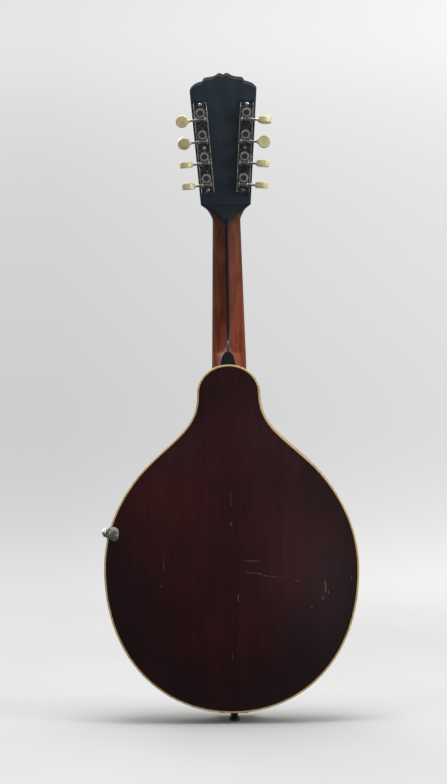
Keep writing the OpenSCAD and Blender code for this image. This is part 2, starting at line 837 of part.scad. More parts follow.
module tuner_plate_screws() {
    top = plate_y + plate_thick;
    color(nickel) for (side = [-1, 1]) at_post(3, side) for (z = plate_screws) translate([0, 0, z]) {
        difference() {
            union() {
                translate([0, top + tiny, 0]) rotate([-90, 0, 0]) cylinder(r1 = 2, r2 = 1.3, h = 0.8);
                backwards(top - plate_thick + 0.1, top + 0.3, 1.15);
            }
            translate([-3, top + 0.4, -0.25]) cube([6, 2, 0.5]);
        }
    }
}

module post_bushings() {
    color(nickel) every_post() difference() {
        union() {
            backwards(-overlay_thick - 0.9, -overlay_thick - tiny, 4.6);
            backwards(-overlay_thick - 0.5, 5, bushing_r);
        }
        backwards(-5, 8, post_r + 0.3 + run_gap);
    }
}

module gear() {
    blank = gear_r - tooth_h - 0.15;
    module tooth(turn) {
        rotate([0, 0, turn]) translate([0, blank - 0.3, 0]) rotate([0, -lead, 0])
            linear_extrude(height = gear_thick, center = true)
            polygon([[-0.52, 0], [0.52, 0], [0.2, 2 * tooth_h + 0.4], [-0.2, 2 * tooth_h + 0.4]]);
    }
    translate([0, shaft_y, 0]) rotate([-90, 0, 0]) difference() {
        union() {
            translate([0, 0, -gear_thick / 2]) cylinder(r = blank, h = gear_thick);
            for (i = [0:gear_teeth - 1]) tooth(360 * (i + 0.5) / gear_teeth);
        }
        translate([0, 0, -5]) cylinder(r = 1.52, h = 10);
        translate([0, 0, gear_thick / 2 - 0.35]) cylinder(r = 2.9, h = 3);
    }
}

module string_post(k) {
    tip = -13.2;
    module hole() {
        translate([0, tip + 1.6, -6]) cylinder(r = 0.7, h = 12, $fn = 24);
    }
    color(nickel) {
        difference() {
            union() {
                backwards(tip + 0.6, -overlay_thick - 0.8, post_r);
                translate([0, tip + 0.6, 0]) intersection() {
                    sphere(r = post_r * 1.25);
                    backwards(-0.6, 0.8, post_r);
                }
                backwards(-overlay_thick - 0.9, 5.4, post_r + 0.3);
                backwards(5.3, plate_y - 0.4, post_r + 0.2);
                backwards(plate_y - 0.5, plate_y + plate_thick + 0.4, 2.2);
                backwards(plate_y + plate_thick + 0.3, gear_y - tiny, 2.9);
                backwards(gear_y - 0.1, gear_y + gear_thick - 0.5, 1.48);
            }
            hole();
            backwards(gear_y - 2, gear_y + 4, 0.82);
        }
        gear();
    }
    color(dark_nickel) difference() {
        union() {
            backwards(gear_y + gear_thick - 0.33, gear_y + gear_thick + 0.8, 2.3);
            backwards(gear_y - 1.5, gear_y + gear_thick - 0.2, 0.8);
        }
        translate([-3, gear_y + gear_thick + 0.3, -0.3]) rotate([0, 25 * k, 0]) cube([6, 2, 0.6]);
    }
}

worm_half = 3.1;
button_at = 18.9;
shaft_end = 19.9;
// how far the shaft reaches past its post, through the inner lug
shaft_tail = lug_at + lug_thick + 1;

module worm_shaft() {
    thread_steps = 14;
    root_r = worm_r - tooth_h - 0.2;
    crest_r = worm_r + tooth_h;
    turns = 2 * (worm_half - 0.65) / tooth_pitch;
    count = floor(turns * thread_steps);
    profile = [[root_r - 0.15, -0.52], [crest_r, -0.22], [crest_r, 0.22], [root_r - 0.15, 0.52]];
    rings = [for (i = [0:count])
        let (a = 360 * (i - count / 2) / thread_steps)
        [for (p = profile) [p[0] * cos(a), p[0] * sin(a), p[1] + tooth_pitch * a / 360]]];
    color(nickel) translate([0, shaft_y, -worm_drop]) rotate([180, 0, 0]) rotate([0, 90, 0]) {
        translate([0, 0, -worm_half]) cylinder(r = root_r, h = 2 * worm_half);
        skin(rings);
        translate([0, 0, -shaft_tail]) cylinder(r = shaft_r, h = shaft_end + shaft_tail);
        translate([0, 0, lug_at + lug_thick + 0.2]) cylinder(r = 2, h = 0.9);
    }
}

// a thick round disc held by its edge on a short collar
module button(turn) {
    r = button_d / 2;
    half = 3.1;
    edge = 1;
    bore = shaft_r + tiny;
    bore_start = button_at - 10;
    color(ivory) translate([0, shaft_y, -worm_drop]) rotate([turn, 0, 0]) difference() {
        union() {
            translate([button_at, 0, 0]) rotate([-90, 0, 0]) rotate_extrude() polygon(concat(
                [[0, -half]],
                [for (a = [-90:30:0]) [r - edge + edge * cos(a), edge - half + edge * sin(a)]],
                [for (a = [0:30:90]) [r - edge + edge * cos(a), half - edge + edge * sin(a)]],
                [[0, half]]
            ));
            translate([button_at - r - 1.2, 0, 0]) rotate([0, 90, 0]) cylinder(r1 = 2.2, r2 = 3, h = 3.2);
        }
        translate([bore_start, 0, 0]) rotate([0, 90, 0]) cylinder(r = bore, h = shaft_end + 0.1 - bore_start);
    }
}

module tuner(part, names, side, turns) {
    for (k = [0:3]) at_post(3 - k, side) {
        if (part == "button") button(turns[k]);
        if (part == "worm_shaft") worm_shaft();
        if (part == "string_post") string_post(k);
    }
}

treble_names = ["e2", "e1", "a2", "a1"];
bass_names = ["g1", "g2", "d1", "d2"];

soundboard();
back_plate();
rim();
body_binding();
sound_hole_rings();
head_block();
tail_block();
linings();
top_brace();
neck();
neck_center_strip();
heel_cap();
headstock_overlay();
headstock_back_veneer();
pearl_inlays();
nut();
fingerboard();
frets();
bridge();
tailpiece();
tailpiece_cover();
tailpiece_screws();
end_pin();
pickguard();
pickguard_pins();
pickguard_bracket();
clamp_foot();
clamp_nut();
strings();
post_bushings();
tuner_plate(1);  // tuner_plate_treble
tuner_plate(-1);  // tuner_plate_bass
tuner_plate_screws();
for (part = ["button", "worm_shaft", "string_post"]) {
    tuner(part, treble_names, 1, treble_turns);
    tuner(part, bass_names, -1, bass_turns);
}
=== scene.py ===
"""A carved mandolin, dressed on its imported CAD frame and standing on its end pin.

The frame is in metres: +Z runs up the neck, -Y is the soundboard's side and +X the treble side.
Shapes here are worked out in millimetres and turned into metres when a mesh is made.
"""

import math

import bmesh
import bpy
from mathutils import Matrix, Vector


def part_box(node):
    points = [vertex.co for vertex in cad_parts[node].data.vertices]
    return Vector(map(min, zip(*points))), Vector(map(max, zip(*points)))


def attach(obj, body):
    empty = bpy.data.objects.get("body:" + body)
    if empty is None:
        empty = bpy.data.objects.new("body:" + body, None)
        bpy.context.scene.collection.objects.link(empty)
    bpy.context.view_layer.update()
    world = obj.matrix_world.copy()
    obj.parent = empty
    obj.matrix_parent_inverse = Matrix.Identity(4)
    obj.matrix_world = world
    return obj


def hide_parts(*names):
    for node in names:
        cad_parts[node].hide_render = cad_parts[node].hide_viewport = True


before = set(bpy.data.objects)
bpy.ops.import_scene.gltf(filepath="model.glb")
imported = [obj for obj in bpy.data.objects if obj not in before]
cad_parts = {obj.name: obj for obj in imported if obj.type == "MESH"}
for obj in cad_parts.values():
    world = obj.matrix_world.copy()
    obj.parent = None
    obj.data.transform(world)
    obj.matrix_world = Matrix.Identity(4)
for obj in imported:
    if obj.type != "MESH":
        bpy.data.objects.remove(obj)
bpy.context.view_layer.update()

MM = 0.001
TINY = 1e-6


def box_mm(node):
    """Lowest and highest corner of a CAD node in millimetres."""
    low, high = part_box(node)
    return low / MM, high / MM


# Driving sizes, read from the frame

RIM_LOW, RIM_HIGH = box_mm("rim")
TAIL_Z = RIM_LOW.z
HEEL_Z = RIM_HIGH.z
HALF_W = RIM_HIGH.x
RIM_Y = RIM_HIGH.y
BODY_LEN = HEEL_Z - TAIL_Z
FACE_Y = box_mm("body_binding")[1].y
TOP_ARCH = -box_mm("soundboard")[0].y - FACE_Y
BACK_ARCH = box_mm("back_plate")[1].y - FACE_Y
RIM_THICK = 2.4
BINDING_W = 1.8
PLATE_GROWTH = 1.2
WIDE_Z = TAIL_Z + 0.4129 * BODY_LEN
HOLE_Z = HEEL_Z - 135
HOLE_HALF = (36, 25)

NUT_Z = HEEL_Z + 144
NUT_HALF = 14.1
NUT_LEN = 4.7
BOARD_FLARE = 0.0233
NECK_ANGLE = math.radians(5)
HEAD_ANGLE = math.radians(18)
TAPER = math.radians(3.7)
HEEL_CAP_THICK = 2.2
HEEL_CAP_HALF = 7.25
HEEL_CAP_LEN = 13.2
HEEL_DEPTH = FACE_Y - HEEL_CAP_THICK
HEAD_THICK = 12.5
OVERLAY_THICK = 1.6
VENEER_THICK = 0.6
FIRST_POST = (18.65, 45.75)
POST_GAP = 22
SHAFT_Y = 17.75
MACHINE_PLATE_THICK = 1.2
PLATE_TOP = (HEAD_THICK + VENEER_THICK + MACHINE_PLATE_THICK) * MM
WORM_DROP = 7.0
BUTTON_R = 6.2
BUTTON_HALF = 3.1
BUTTON_EDGE = 0.7
BUTTON_AT = 18.9
COLLAR_LEN = 1.2
GEAR_SCREW_R = 2.86
GEAR_ROOT_R = 4.5

# One side of the body outline as four curves, in fractions of the half width and of the length
SIDE_CURVES = [
    [(0, 0), (0.5482, 0), (1, 0.1535), (1, 0.4129)],
    [(1, 0.4129), (1, 0.587), (0.7014, 0.6952), (0.5996, 0.7293)],
    [(0.5996, 0.7293), (0.3829, 0.8018), (0.2465, 0.8308), (0.2465, 0.9173)],
    [(0.2465, 0.9173), (0.2465, 0.963), (0.136, 1), (0, 1)],
]
SIDE_STEPS = [40, 26, 22, 18]


# Curves and points


def bez(p, t):
    s = 1 - t
    w = (s * s * s, 3 * t * s * s, 3 * t * t * s, t * t * t)
    return tuple(sum(w[i] * p[i][a] for i in range(4)) for a in range(len(p[0])))


def bez_points(p, steps, first=0):
    return [bez(p, i / steps) for i in range(first, steps + 1)]


def bez_dir(p, t):
    s = 1 - t
    w = (s * s, 2 * t * s, t * t)
    return tuple(sum(w[i] * (p[i + 1][a] - p[i][a]) for i in range(3)) for a in range(2))


def body_side(inset):
    """Treble side of the body outline from the tail to the neck, moved inwards by inset."""
    points = []
    for curve, steps in zip(SIDE_CURVES, SIDE_STEPS):
        real = [(p[0] * HALF_W, TAIL_Z + p[1] * BODY_LEN) for p in curve]
        last = curve is SIDE_CURVES[-1]
        for i in range(steps + (1 if last else 0)):
            t = i / steps
            x, z = bez(real, t)
            u, v = bez_dir(real, t)
            length = math.hypot(u, v)
            points.append((x - inset * v / length, z + inset * u / length))
    return points


def body_outline(inset):
    side = body_side(inset)
    return side + [(-x, z) for x, z in reversed(side) if x > 0.02]


WIDTHS = [(z, x) for x, z in body_side(0)]


def half_width(z):
    for (z0, x0), (z1, x1) in zip(WIDTHS, WIDTHS[1:]):
        if z0 <= z <= z1:
            return x0 + (x1 - x0) * (z - z0) / max(TINY, z1 - z0)
    return WIDTHS[0][1] if z < WIDTHS[0][0] else WIDTHS[-1][1]


def arch(x, z):
    """Share of the full arch height at a point of a plate."""
    if z < WIDE_Z:
        left = 1 - (x / HALF_W) ** 2 - ((WIDE_Z - z) / (WIDE_Z - TAIL_Z)) ** 2
        return max(0, left) ** 1.5
    q = min(1, (z - WIDE_Z) / (HEEL_Z - WIDE_Z))
    across = max(0, 1 - (x / max(1, half_width(z))) ** 2) ** 1.5
    return across * max(0, 1 - 1.6 * q * q + 0.6 * q**3)


def outer_y(x, z, rise):
    return FACE_Y + rise * arch(x, z)


def inner_y(x, z, rise):
    return RIM_Y + max(0, rise * arch(x, z) - PLATE_GROWTH)


def neck_y(z):
    """Front plane of the neck, which carries the fingerboard."""
    return -(FACE_Y + 0.4) + (z - HEEL_Z + 2) * math.tan(NECK_ANGLE)


HEAD_ORIGIN = Vector((0, neck_y(NUT_Z + NUT_LEN), NUT_Z + NUT_LEN))
HEAD_TURN = Matrix.Rotation(-HEAD_ANGLE, 3, "X")


def from_head(x, y, z):
    return tuple(HEAD_ORIGIN + HEAD_TURN @ Vector((x, y, z)))


def post_frame(k, side):
    """Frame of a tuner: X points out of the headstock, Y to its back and Z to its tip."""
    along = (3 - k) * POST_GAP
    x = FIRST_POST[0] + along * math.sin(TAPER)
    z = FIRST_POST[1] + along * math.cos(TAPER)
    head = Matrix.Translation(HEAD_ORIGIN) @ Matrix.Rotation(-HEAD_ANGLE, 4, "X")
    mirror = Matrix.Diagonal((side, 1, 1, 1))
    return head @ mirror @ Matrix.Translation((x, 0, z)) @ Matrix.Rotation(TAPER, 4, "Y")


# Meshes


def skin(rings, looped=False, capped=True):
    """Points and faces of a surface through rings of points."""
    n, m = len(rings[0]), len(rings)
    points = [p for ring in rings for p in ring]
    faces = []
    for k in range(m if looped else m - 1):
        up = (k + 1) % m * n
        for i in range(n):
            j = (i + 1) % n
            faces.append((k * n + i, k * n + j, up + j, up + i))
    if capped and not looped:
        faces.append(tuple(range(n)))
        faces.append(tuple(range((m - 1) * n, m * n)))
    return points, faces


def make_piece(name, shapes, paint, stands_for, body="instrument", sharp=38, merge=0.01):
    """One object from one or more (points, faces) shapes in millimetres."""
    mesh = bpy.data.meshes.new(name)
    made = bmesh.new()
    for points, faces in shapes:
        verts = [made.verts.new([c * MM for c in p]) for p in points]
        for face in faces:
            if len(set(face)) > 2:
                made.faces.new([verts[i] for i in face])
    bmesh.ops.remove_doubles(made, verts=made.verts, dist=merge * MM)
    bmesh.ops.dissolve_degenerate(made, edges=made.edges, dist=merge * MM / 10)
    bmesh.ops.recalc_face_normals(made, faces=made.faces)
    made.to_mesh(mesh)
    made.free()
    mesh.polygons.foreach_set("use_smooth", [True] * len(mesh.polygons))
    mesh.set_sharp_from_angle(angle=math.radians(sharp))
    mesh.materials.append(paint)
    piece = bpy.data.objects.new(name, mesh)
    bpy.context.scene.collection.objects.link(piece)
    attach(piece, body)
    if stands_for:
        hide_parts(*stands_for)
    return piece


def shrunk(plan, inset):
    """A closed plan outline moved inwards by inset, along the mean of the normals at each point."""
    area = sum(a[0] * b[1] - b[0] * a[1] for a, b in zip(plan, plan[1:] + plan[:1]))
    turn = 1 if area > 0 else -1
    result = []
    for i, p in enumerate(plan):
        before, after = Vector(p) - Vector(plan[i - 1]), Vector(plan[(i + 1) % len(plan)]) - Vector(p)
        before.normalize()
        after.normalize()
        along = before + after
        along.normalize()
        reach = inset / max(0.5, abs(along.dot(after)))
        result.append((p[0] - turn * along.y * reach, p[1] + turn * along.x * reach))
    return result


def prism(plan, y0, y1, place, round_front=0.0, round_back=0.0):
    """A plan in X and Z with a thickness in Y and rounded edges; place moves each point."""
    rings = []
    steps = 4
    if round_front:
        for i in range(steps):
            a = math.pi / 2 * i / steps
            rings.append((round_front * (1 - math.sin(a)), y0 + round_front * (1 - math.cos(a))))
    rings.append((0, y0 + round_front))
    rings.append((0, y1 - round_back))
    if round_back:
        for i in range(1, steps + 1):
            a = math.pi / 2 * i / steps
            rings.append((round_back * (1 - math.cos(a)), y1 - round_back * (1 - math.sin(a))))
    return skin([[place(x, y, z) for x, z in shrunk(plan, inset)] for inset, y in rings])


def here(x, y, z):
    return (x, y, z)


def turned(profile, place, steps=48):
    """A solid of revolution: profile is (radius, height) points and place(x, y, z) has Z along it."""
    rings = [
        [
            place(r * math.cos(2 * math.pi * i / steps), r * math.sin(2 * math.pi * i / steps), h)
            for i in range(steps)
        ]
        for r, h in profile
    ]
    return skin(rings)


def lofted(rings, gap):
    """More rings between the given ones, on smooth curves through their matching points."""
    count = len(rings[0])
    middles = [sum((Vector(p) for p in ring), Vector((0, 0, 0))) / count for ring in rings]
    lengths = [(b - a).length for a, b in zip(middles, middles[1:])]

    def slope(k, i):
        if k == 0:
            return (Vector(rings[1][i]) - Vector(rings[0][i])) / lengths[0]
        if k == len(rings) - 1:
            return (Vector(rings[k][i]) - Vector(rings[k - 1][i])) / lengths[-1]
        h0, h1 = lengths[k - 1], lengths[k]
        before = (Vector(rings[k][i]) - Vector(rings[k - 1][i])) / h0
        after = (Vector(rings[k + 1][i]) - Vector(rings[k][i])) / h1
        return (before * h1 + after * h0) / (h0 + h1)

    result = [rings[0]]
    for k, h in enumerate(lengths):
        steps = max(1, math.ceil(h / gap))
        for s in range(1, steps + 1):
            t = s / steps
            b0, b1 = 2 * t**3 - 3 * t * t + 1, 3 * t * t - 2 * t**3
            c0, c1 = (t**3 - 2 * t * t + t) * h, (t**3 - t * t) * h
            result.append([
                tuple(
                    b0 * Vector(rings[k][i]) + b1 * Vector(rings[k + 1][i])
                    + c0 * slope(k, i) + c1 * slope(k + 1, i)
                )
                for i in range(count)
            ])
    return result


# Paint


class Nodes:
    """A node tree. Its methods add a node each and give back the node's output."""

    def __init__(self, tree, coordinates):
        self.tree = tree
        self.place = self.add("ShaderNodeTexCoord").outputs[coordinates]

    def add(self, kind, **settings):
        node = self.tree.nodes.new(kind)
        for key, value in settings.items():
            setattr(node, key, value)
        return node

    def join(self, value, socket):
        if isinstance(value, bpy.types.NodeSocket):
            self.tree.links.new(value, socket)
        elif socket.type == "RGBA":
            socket.default_value = (*value, 1) if len(value) == 3 else value
        else:
            socket.default_value = value

    def spread(self, scale, turn=(0, 0, 0), vector=None, move=(0, 0, 0), kind="POINT"):
        node = self.add("ShaderNodeMapping", vector_type=kind)
        self.join(vector or self.place, node.inputs["Vector"])
        node.inputs["Location"].default_value = move
        node.inputs["Rotation"].default_value = turn
        node.inputs["Scale"].default_value = scale
        return node.outputs["Vector"]

    def noise(self, vector, scale=1.0, detail=4.0, rough=0.5, bend=0.0):
        node = self.add("ShaderNodeTexNoise")
        self.join(vector, node.inputs["Vector"])
        node.inputs["Scale"].default_value = scale
        node.inputs["Detail"].default_value = detail
        node.inputs["Roughness"].default_value = rough
        node.inputs["Distortion"].default_value = bend
        return node.outputs["Fac"]

    def cells(self, vector, scale=1.0, feature="F1", jitter=1.0):
        node = self.add("ShaderNodeTexVoronoi", feature=feature)
        self.join(vector, node.inputs["Vector"])
        node.inputs["Scale"].default_value = scale
        node.inputs["Randomness"].default_value = jitter
        return node.outputs["Distance"]

    def wave(self, vector, scale, bend=0.0, detail=2.0, direction="X", kind="BANDS"):
        node = self.add("ShaderNodeTexWave", wave_type=kind, bands_direction=direction)
        self.join(vector, node.inputs["Vector"])
        node.inputs["Scale"].default_value = scale
        node.inputs["Distortion"].default_value = bend
        node.inputs["Detail"].default_value = detail
        return node.outputs["Fac"]

    def ramp(self, value, stops, easing="LINEAR"):
        """Colours between stops; a stop is (position, grey) or (position, (r, g, b))."""
        node = self.add("ShaderNodeValToRGB")
        node.color_ramp.interpolation = easing
        self.join(value, node.inputs["Fac"])
        band = node.color_ramp.elements
        while len(band) < len(stops):
            band.new(0.5)
        for element, (position, colour) in zip(band, stops):
            element.position = position
            grey = isinstance(colour, (int, float))
            element.color = (colour, colour, colour, 1) if grey else (*colour, 1)
        return node.outputs["Color"]

    def within(self, value, start, end):
        """0 at start and 1 at end, smooth between; start may lie above end."""
        node = self.add("ShaderNodeMapRange", interpolation_type="SMOOTHSTEP", clamp=True)
        self.join(value, node.inputs["Value"])
        node.inputs["From Min"].default_value = start
        node.inputs["From Max"].default_value = end
        return node.outputs["Result"]

    def scaled(self, value, low, high, start=0.0, end=1.0):
        """A value between start and end brought to the range from low to high."""
        node = self.add("ShaderNodeMapRange", clamp=True)
        self.join(value, node.inputs["Value"])
        for socket, limit in (("From Min", start), ("From Max", end), ("To Min", low), ("To Max", high)):
            node.inputs[socket].default_value = limit
        return node.outputs["Result"]

    def sum(self, operation, a, b=0.0):
        node = self.add("ShaderNodeMath", operation=operation)
        self.join(a, node.inputs[0])
        self.join(b, node.inputs[1])
        return node.outputs[0]

    def blend(self, share, a, b, mode="MIX"):
        node = self.add("ShaderNodeMix", data_type="RGBA", blend_type=mode)
        self.join(share, node.inputs[0])
        self.join(a, node.inputs[6])
        self.join(b, node.inputs[7])
        return node.outputs[2]

    def parts(self, vector=None):
        node = self.add("ShaderNodeSeparateXYZ")
        self.join(vector or self.place, node.inputs[0])
        return node.outputs

    def shaken(self, scale, reach):
        """The coordinates pushed about by noise, at most half of reach each way."""
        wander = self.add("ShaderNodeTexNoise")
        self.join(self.place, wander.inputs["Vector"])
        wander.inputs["Scale"].default_value = scale
        node = self.add("ShaderNodeVectorMath", operation="MULTIPLY_ADD")
        self.join(wander.outputs["Color"], node.inputs[0])
        self.join((reach, reach, reach), node.inputs[1])
        self.join(self.place, node.inputs[2])
        return node.outputs[0]

    def length(self, vector):
        node = self.add("ShaderNodeVectorMath", operation="LENGTH")
        self.join(vector, node.inputs[0])
        return node.outputs["Value"]

    def bump(self, height, distance, strength=1.0, after=None):
        node = self.add("ShaderNodeBump")
        self.join(height, node.inputs["Height"])
        node.inputs["Distance"].default_value = distance
        node.inputs["Strength"].default_value = strength
        if after is not None:
            self.join(after, node.inputs["Normal"])
        return node.outputs["Normal"]


class Paint(Nodes):
    """One node material for pieces of the instrument."""

    def __init__(self, name, **sockets):
        self.material = bpy.data.materials.new(name)
        self.material.use_nodes = True
        super().__init__(self.material.node_tree, "Object")
        self.shader = self.tree.nodes["Principled BSDF"]
        for socket, value in sockets.items():
            self.shader.inputs[socket.replace("_", " ")].default_value = value

    def finish(self, colour=None, roughness=None, normal=None, metallic=None):
        for value, socket in (
            (colour, "Base Color"),
            (roughness, "Roughness"),
            (normal, "Normal"),
            (metallic, "Metallic"),
        ):
            if value is not None:
                self.join(value, self.shader.inputs[socket])
        return self.material


def nicks(p, vector, scale, cover):
    """Small sparse marks: 1 inside a nick, 0 elsewhere."""
    mark = p.within(p.noise(vector, scale, 2, 0.6), 0.72, 0.77)
    where = p.within(p.noise(p.place, 16, 2, 0.5), 1 - cover, 1.08 - cover)
    return p.sum("MULTIPLY", mark, where)


def stained_wood(name, along, marks=()):
    """Near-black red-brown varnish over straight-grained wood; along is the grain's stretch.

    Each mark is a scuff: its place in X and Z, its half width and half height, and its lean.
    """
    p = Paint(name, Specular_IOR_Level=0.25, Coat_Weight=0.08, Coat_Roughness=0.3)
    fine = p.noise(p.spread(along(620, 16)), 1, 5, 0.62)
    bands = p.noise(p.spread(along(95, 3.2)), 1, 3, 0.5, 0.7)
    patches = p.noise(p.place, 11, 3, 0.5)
    tone = p.sum("ADD", p.sum("MULTIPLY", fine, 0.6), p.sum("MULTIPLY", bands, 0.4))
    dark = p.ramp(tone, [
        (0.34, (0.0255, 0.0047, 0.0066)),
        (0.5, (0.0390, 0.0062, 0.0084)),
        (0.66, (0.0540, 0.0084, 0.0108)),
    ])
    warm = p.ramp(patches, [(0.4, (0.8, 0.92, 1)), (0.62, (1.35, 1.02, 0.92))])
    stain = p.blend(1.0, dark, warm, "MULTIPLY")
    pores = p.within(p.noise(p.spread(along(1700, 26)), 1, 2, 0.5), 0.58, 0.68)
    stain = p.blend(p.sum("MULTIPLY", pores, 0.5), stain, (0.007, 0.0035, 0.004))
    middle = p.length(p.spread((0.1, 1, 0.11), move=(0, 0, 0.18), kind="TEXTURE"))
    darker = p.blend(1.0, stain, (0.58, 0.84, 0.86), "MULTIPLY")
    stain = p.blend(p.within(middle, 0.5, 1.4), stain, darker)
    short = nicks(p, p.spread((420, 420, 150), (0, 0.5, 0)), 1, 0.36)
    worn = p.blend(p.sum("MULTIPLY", short, 0.55), stain, (0.2, 0.1, 0.07))
    bent = p.shaken(190, 0.0032)
    broken = p.within(p.noise(p.place, 700, 2), 0.44, 0.54)
    for x, z, wide, tall, lean in marks:
        drawn = p.spread((wide, 1, tall), (0, lean, 0), bent, (x, 0, z), "TEXTURE")
        scuff = p.sum("MULTIPLY", p.within(p.length(drawn), 1, 0.55), broken)
        worn = p.blend(p.sum("MULTIPLY", scuff, 0.42), worn, (0.34, 0.27, 0.24))
    line = p.noise(p.spread((60, 60, 1500), (0, 0.62, 0)), 1, 1, 0.4)
    scratch = p.sum(
        "MULTIPLY", p.within(line, 0.74, 0.78), p.within(p.noise(p.place, 9, 1), 0.55, 0.7)
    )
    colour = p.blend(p.sum("MULTIPLY", scratch, 0.35), worn, (0.10, 0.05, 0.04))
    shine = p.scaled(p.noise(p.place, 40, 4, 0.6), 0.27, 0.46)
    relief = p.sum("SUBTRACT", tone, p.sum("ADD", p.sum("MULTIPLY", short, 0.8), scratch))
    normal = p.bump(relief, 0.00012, 0.5, p.bump(p.noise(p.place, 22, 2), 0.0012, 0.35))
    return p.finish(colour, shine, normal)


def upright_grain(across, along):
    return (across, across, along)


def bent_grain(across, along):
    return (along, across, along)


def neck_wood():
    """Mahogany under a red-brown varnish, with the black point that runs down from the headstock, its
    black lifted to blue-grey by a painted sheen.
    """
    p = Paint("neck_mahogany", Specular_IOR_Level=0.12)
    x, y, z = p.parts()
    fine = p.noise(p.spread((900, 900, 26)), 1, 5, 0.6)
    bands = p.noise(p.spread((150, 150, 6)), 1, 3, 0.5, 1.2)
    pores = p.within(p.noise(p.spread((2400, 2400, 90)), 1, 2, 0.5), 0.62, 0.7)
    tone = p.sum("ADD", p.sum("MULTIPLY", fine, 0.5), p.sum("MULTIPLY", bands, 0.5))
    wood = p.ramp(tone, [
        (0.34, (0.130, 0.0310, 0.0130)),
        (0.5, (0.180, 0.0420, 0.0165)),
        (0.66, (0.240, 0.0590, 0.0210)),
    ])
    clouds = p.noise(p.spread((75, 75, 22), (0.3, 0.2, 0)), 1, 3, 0.5, 1.0)
    wood = p.blend(1.0, wood, p.ramp(clouds, [(0.36, 0.62), (0.62, (1.25, 1.3, 1.3))]), "MULTIPLY")
    # warmer near the heel and bluer towards the headstock
    heel_to_head_tint = p.ramp(p.scaled(z, 0, 1, 0.365, 0.5), [(0.0, (1.22, 0.98, 0.85)), (1.0, (0.74, 0.98, 1.35))])
    wood = p.blend(1.0, wood, heel_to_head_tint, "MULTIPLY")
    wood = p.blend(p.sum("MULTIPLY", pores, 0.4), wood, (0.030, 0.009, 0.006))
    # half width of the black point against the height on the neck
    widths = p.ramp(p.scaled(z, 0, 1, 0.4945, 0.5194), [
        (0.0, 0.0015), (0.25, 0.0020), (0.47, 0.0058), (0.675, 0.0100), (0.92, 0.0180), (1.0, 0.0240)
    ])
    edge = p.sum("SUBTRACT", p.sum("ABSOLUTE", x), widths)
    rear = p.within(y, -0.006, -0.004)
    black = p.sum("MULTIPLY", p.within(edge, 0.0006, -0.0006), rear)
    black = p.sum("MAXIMUM", black, p.within(z, 0.5175, 0.5195))
    # the black point's colour is blue-grey: black paint with a painted sheen over it
    colour = p.blend(black, wood, (0.037, 0.049, 0.060))
    shine = p.scaled(p.noise(p.place, 60, 4, 0.6), 0.42, 0.58)
    normal = p.bump(tone, 0.0001, 0.5, p.bump(p.noise(p.spread((30, 30, 12)), 1, 2), 0.0008, 0.3))
    return p.finish(colour, shine, normal)


def black_lacquer(name, tint, specular=0.2, shine=(0.42, 0.62)):
    """Black lacquer gone satin, with hairline scratches and dull patches."""
    p = Paint(name, Specular_IOR_Level=specular)
    patches = p.noise(p.place, 35, 4, 0.6)
    hair = p.noise(p.spread((1400, 1400, 40), (0, 0.35, 0)), 1, 2, 0.5)
    hair_two = p.noise(p.spread((1200, 1200, 50), (0, -0.9, 0)), 1, 2, 0.5)
    marks = p.sum("MAXIMUM", p.within(hair, 0.7, 0.76), p.within(hair_two, 0.71, 0.77))
    lighter = tuple(1.35 * c for c in tint)
    colour = p.blend(p.within(patches, 0.35, 0.75), tint, lighter)
    colour = p.blend(p.sum("MULTIPLY", marks, 0.25), colour, (0.04, 0.045, 0.05))
    relief = p.sum("SUBTRACT", p.noise(p.spread((500, 500, 30)), 1, 3), marks)
    return p.finish(colour, p.scaled(patches, *shine), p.bump(relief, 0.00006, 0.5))


def black_edge():
    """The headstock's edge, painted black and rubbed dull, with the wood's pores showing through."""
    p = Paint("headstock_edge", Specular_IOR_Level=0.06)
    pores = p.noise(p.spread((900, 900, 60)), 1, 4, 0.6)
    worn = p.within(p.noise(p.place, 120, 3), 0.6, 0.72)
    colour = p.ramp(pores, [(0.35, (0.0050, 0.0062, 0.0072)), (0.7, (0.0085, 0.0098, 0.0108))])
    colour = p.blend(p.sum("MULTIPLY", worn, 0.35), colour, (0.022, 0.016, 0.013))
    return p.finish(colour, p.scaled(pores, 0.7, 0.9), p.bump(pores, 0.0001, 0.4))


def ebony(name):
    """Dyed hardwood with a tight grain."""
    p = Paint(name, Specular_IOR_Level=0.4)
    fine = p.noise(p.spread((1100, 1100, 60)), 1, 4, 0.6)
    colour = p.ramp(fine, [(0.35, (0.006, 0.005, 0.0045)), (0.65, (0.022, 0.016, 0.013))])
    shine = p.scaled(p.noise(p.place, 70, 3), 0.3, 0.52)
    return p.finish(colour, shine, p.bump(fine, 0.00012, 0.5))


def aged_cream(name, light, dark, grime, shine=(0.25, 0.42)):
    """Yellowed celluloid with faint streaks, darker where dirt has settled."""
    p = Paint(name, Specular_IOR_Level=0.5, Subsurface_Weight=0.06, Subsurface_Scale=0.002)
    streaks = p.noise(p.spread((700, 700, 120), (0.3, 0.5, 0)), 1, 3, 0.5)
    patches = p.noise(p.place, 130, 4, 0.65)
    colour = p.blend(p.within(streaks, 0.38, 0.66), light, dark)
    colour = p.blend(p.sum("MULTIPLY", p.within(patches, 0.52, 0.72), 0.6), colour, grime)
    gloss = p.scaled(patches, *shine)
    return p.finish(colour, gloss, p.bump(streaks, 0.00005, 0.4))


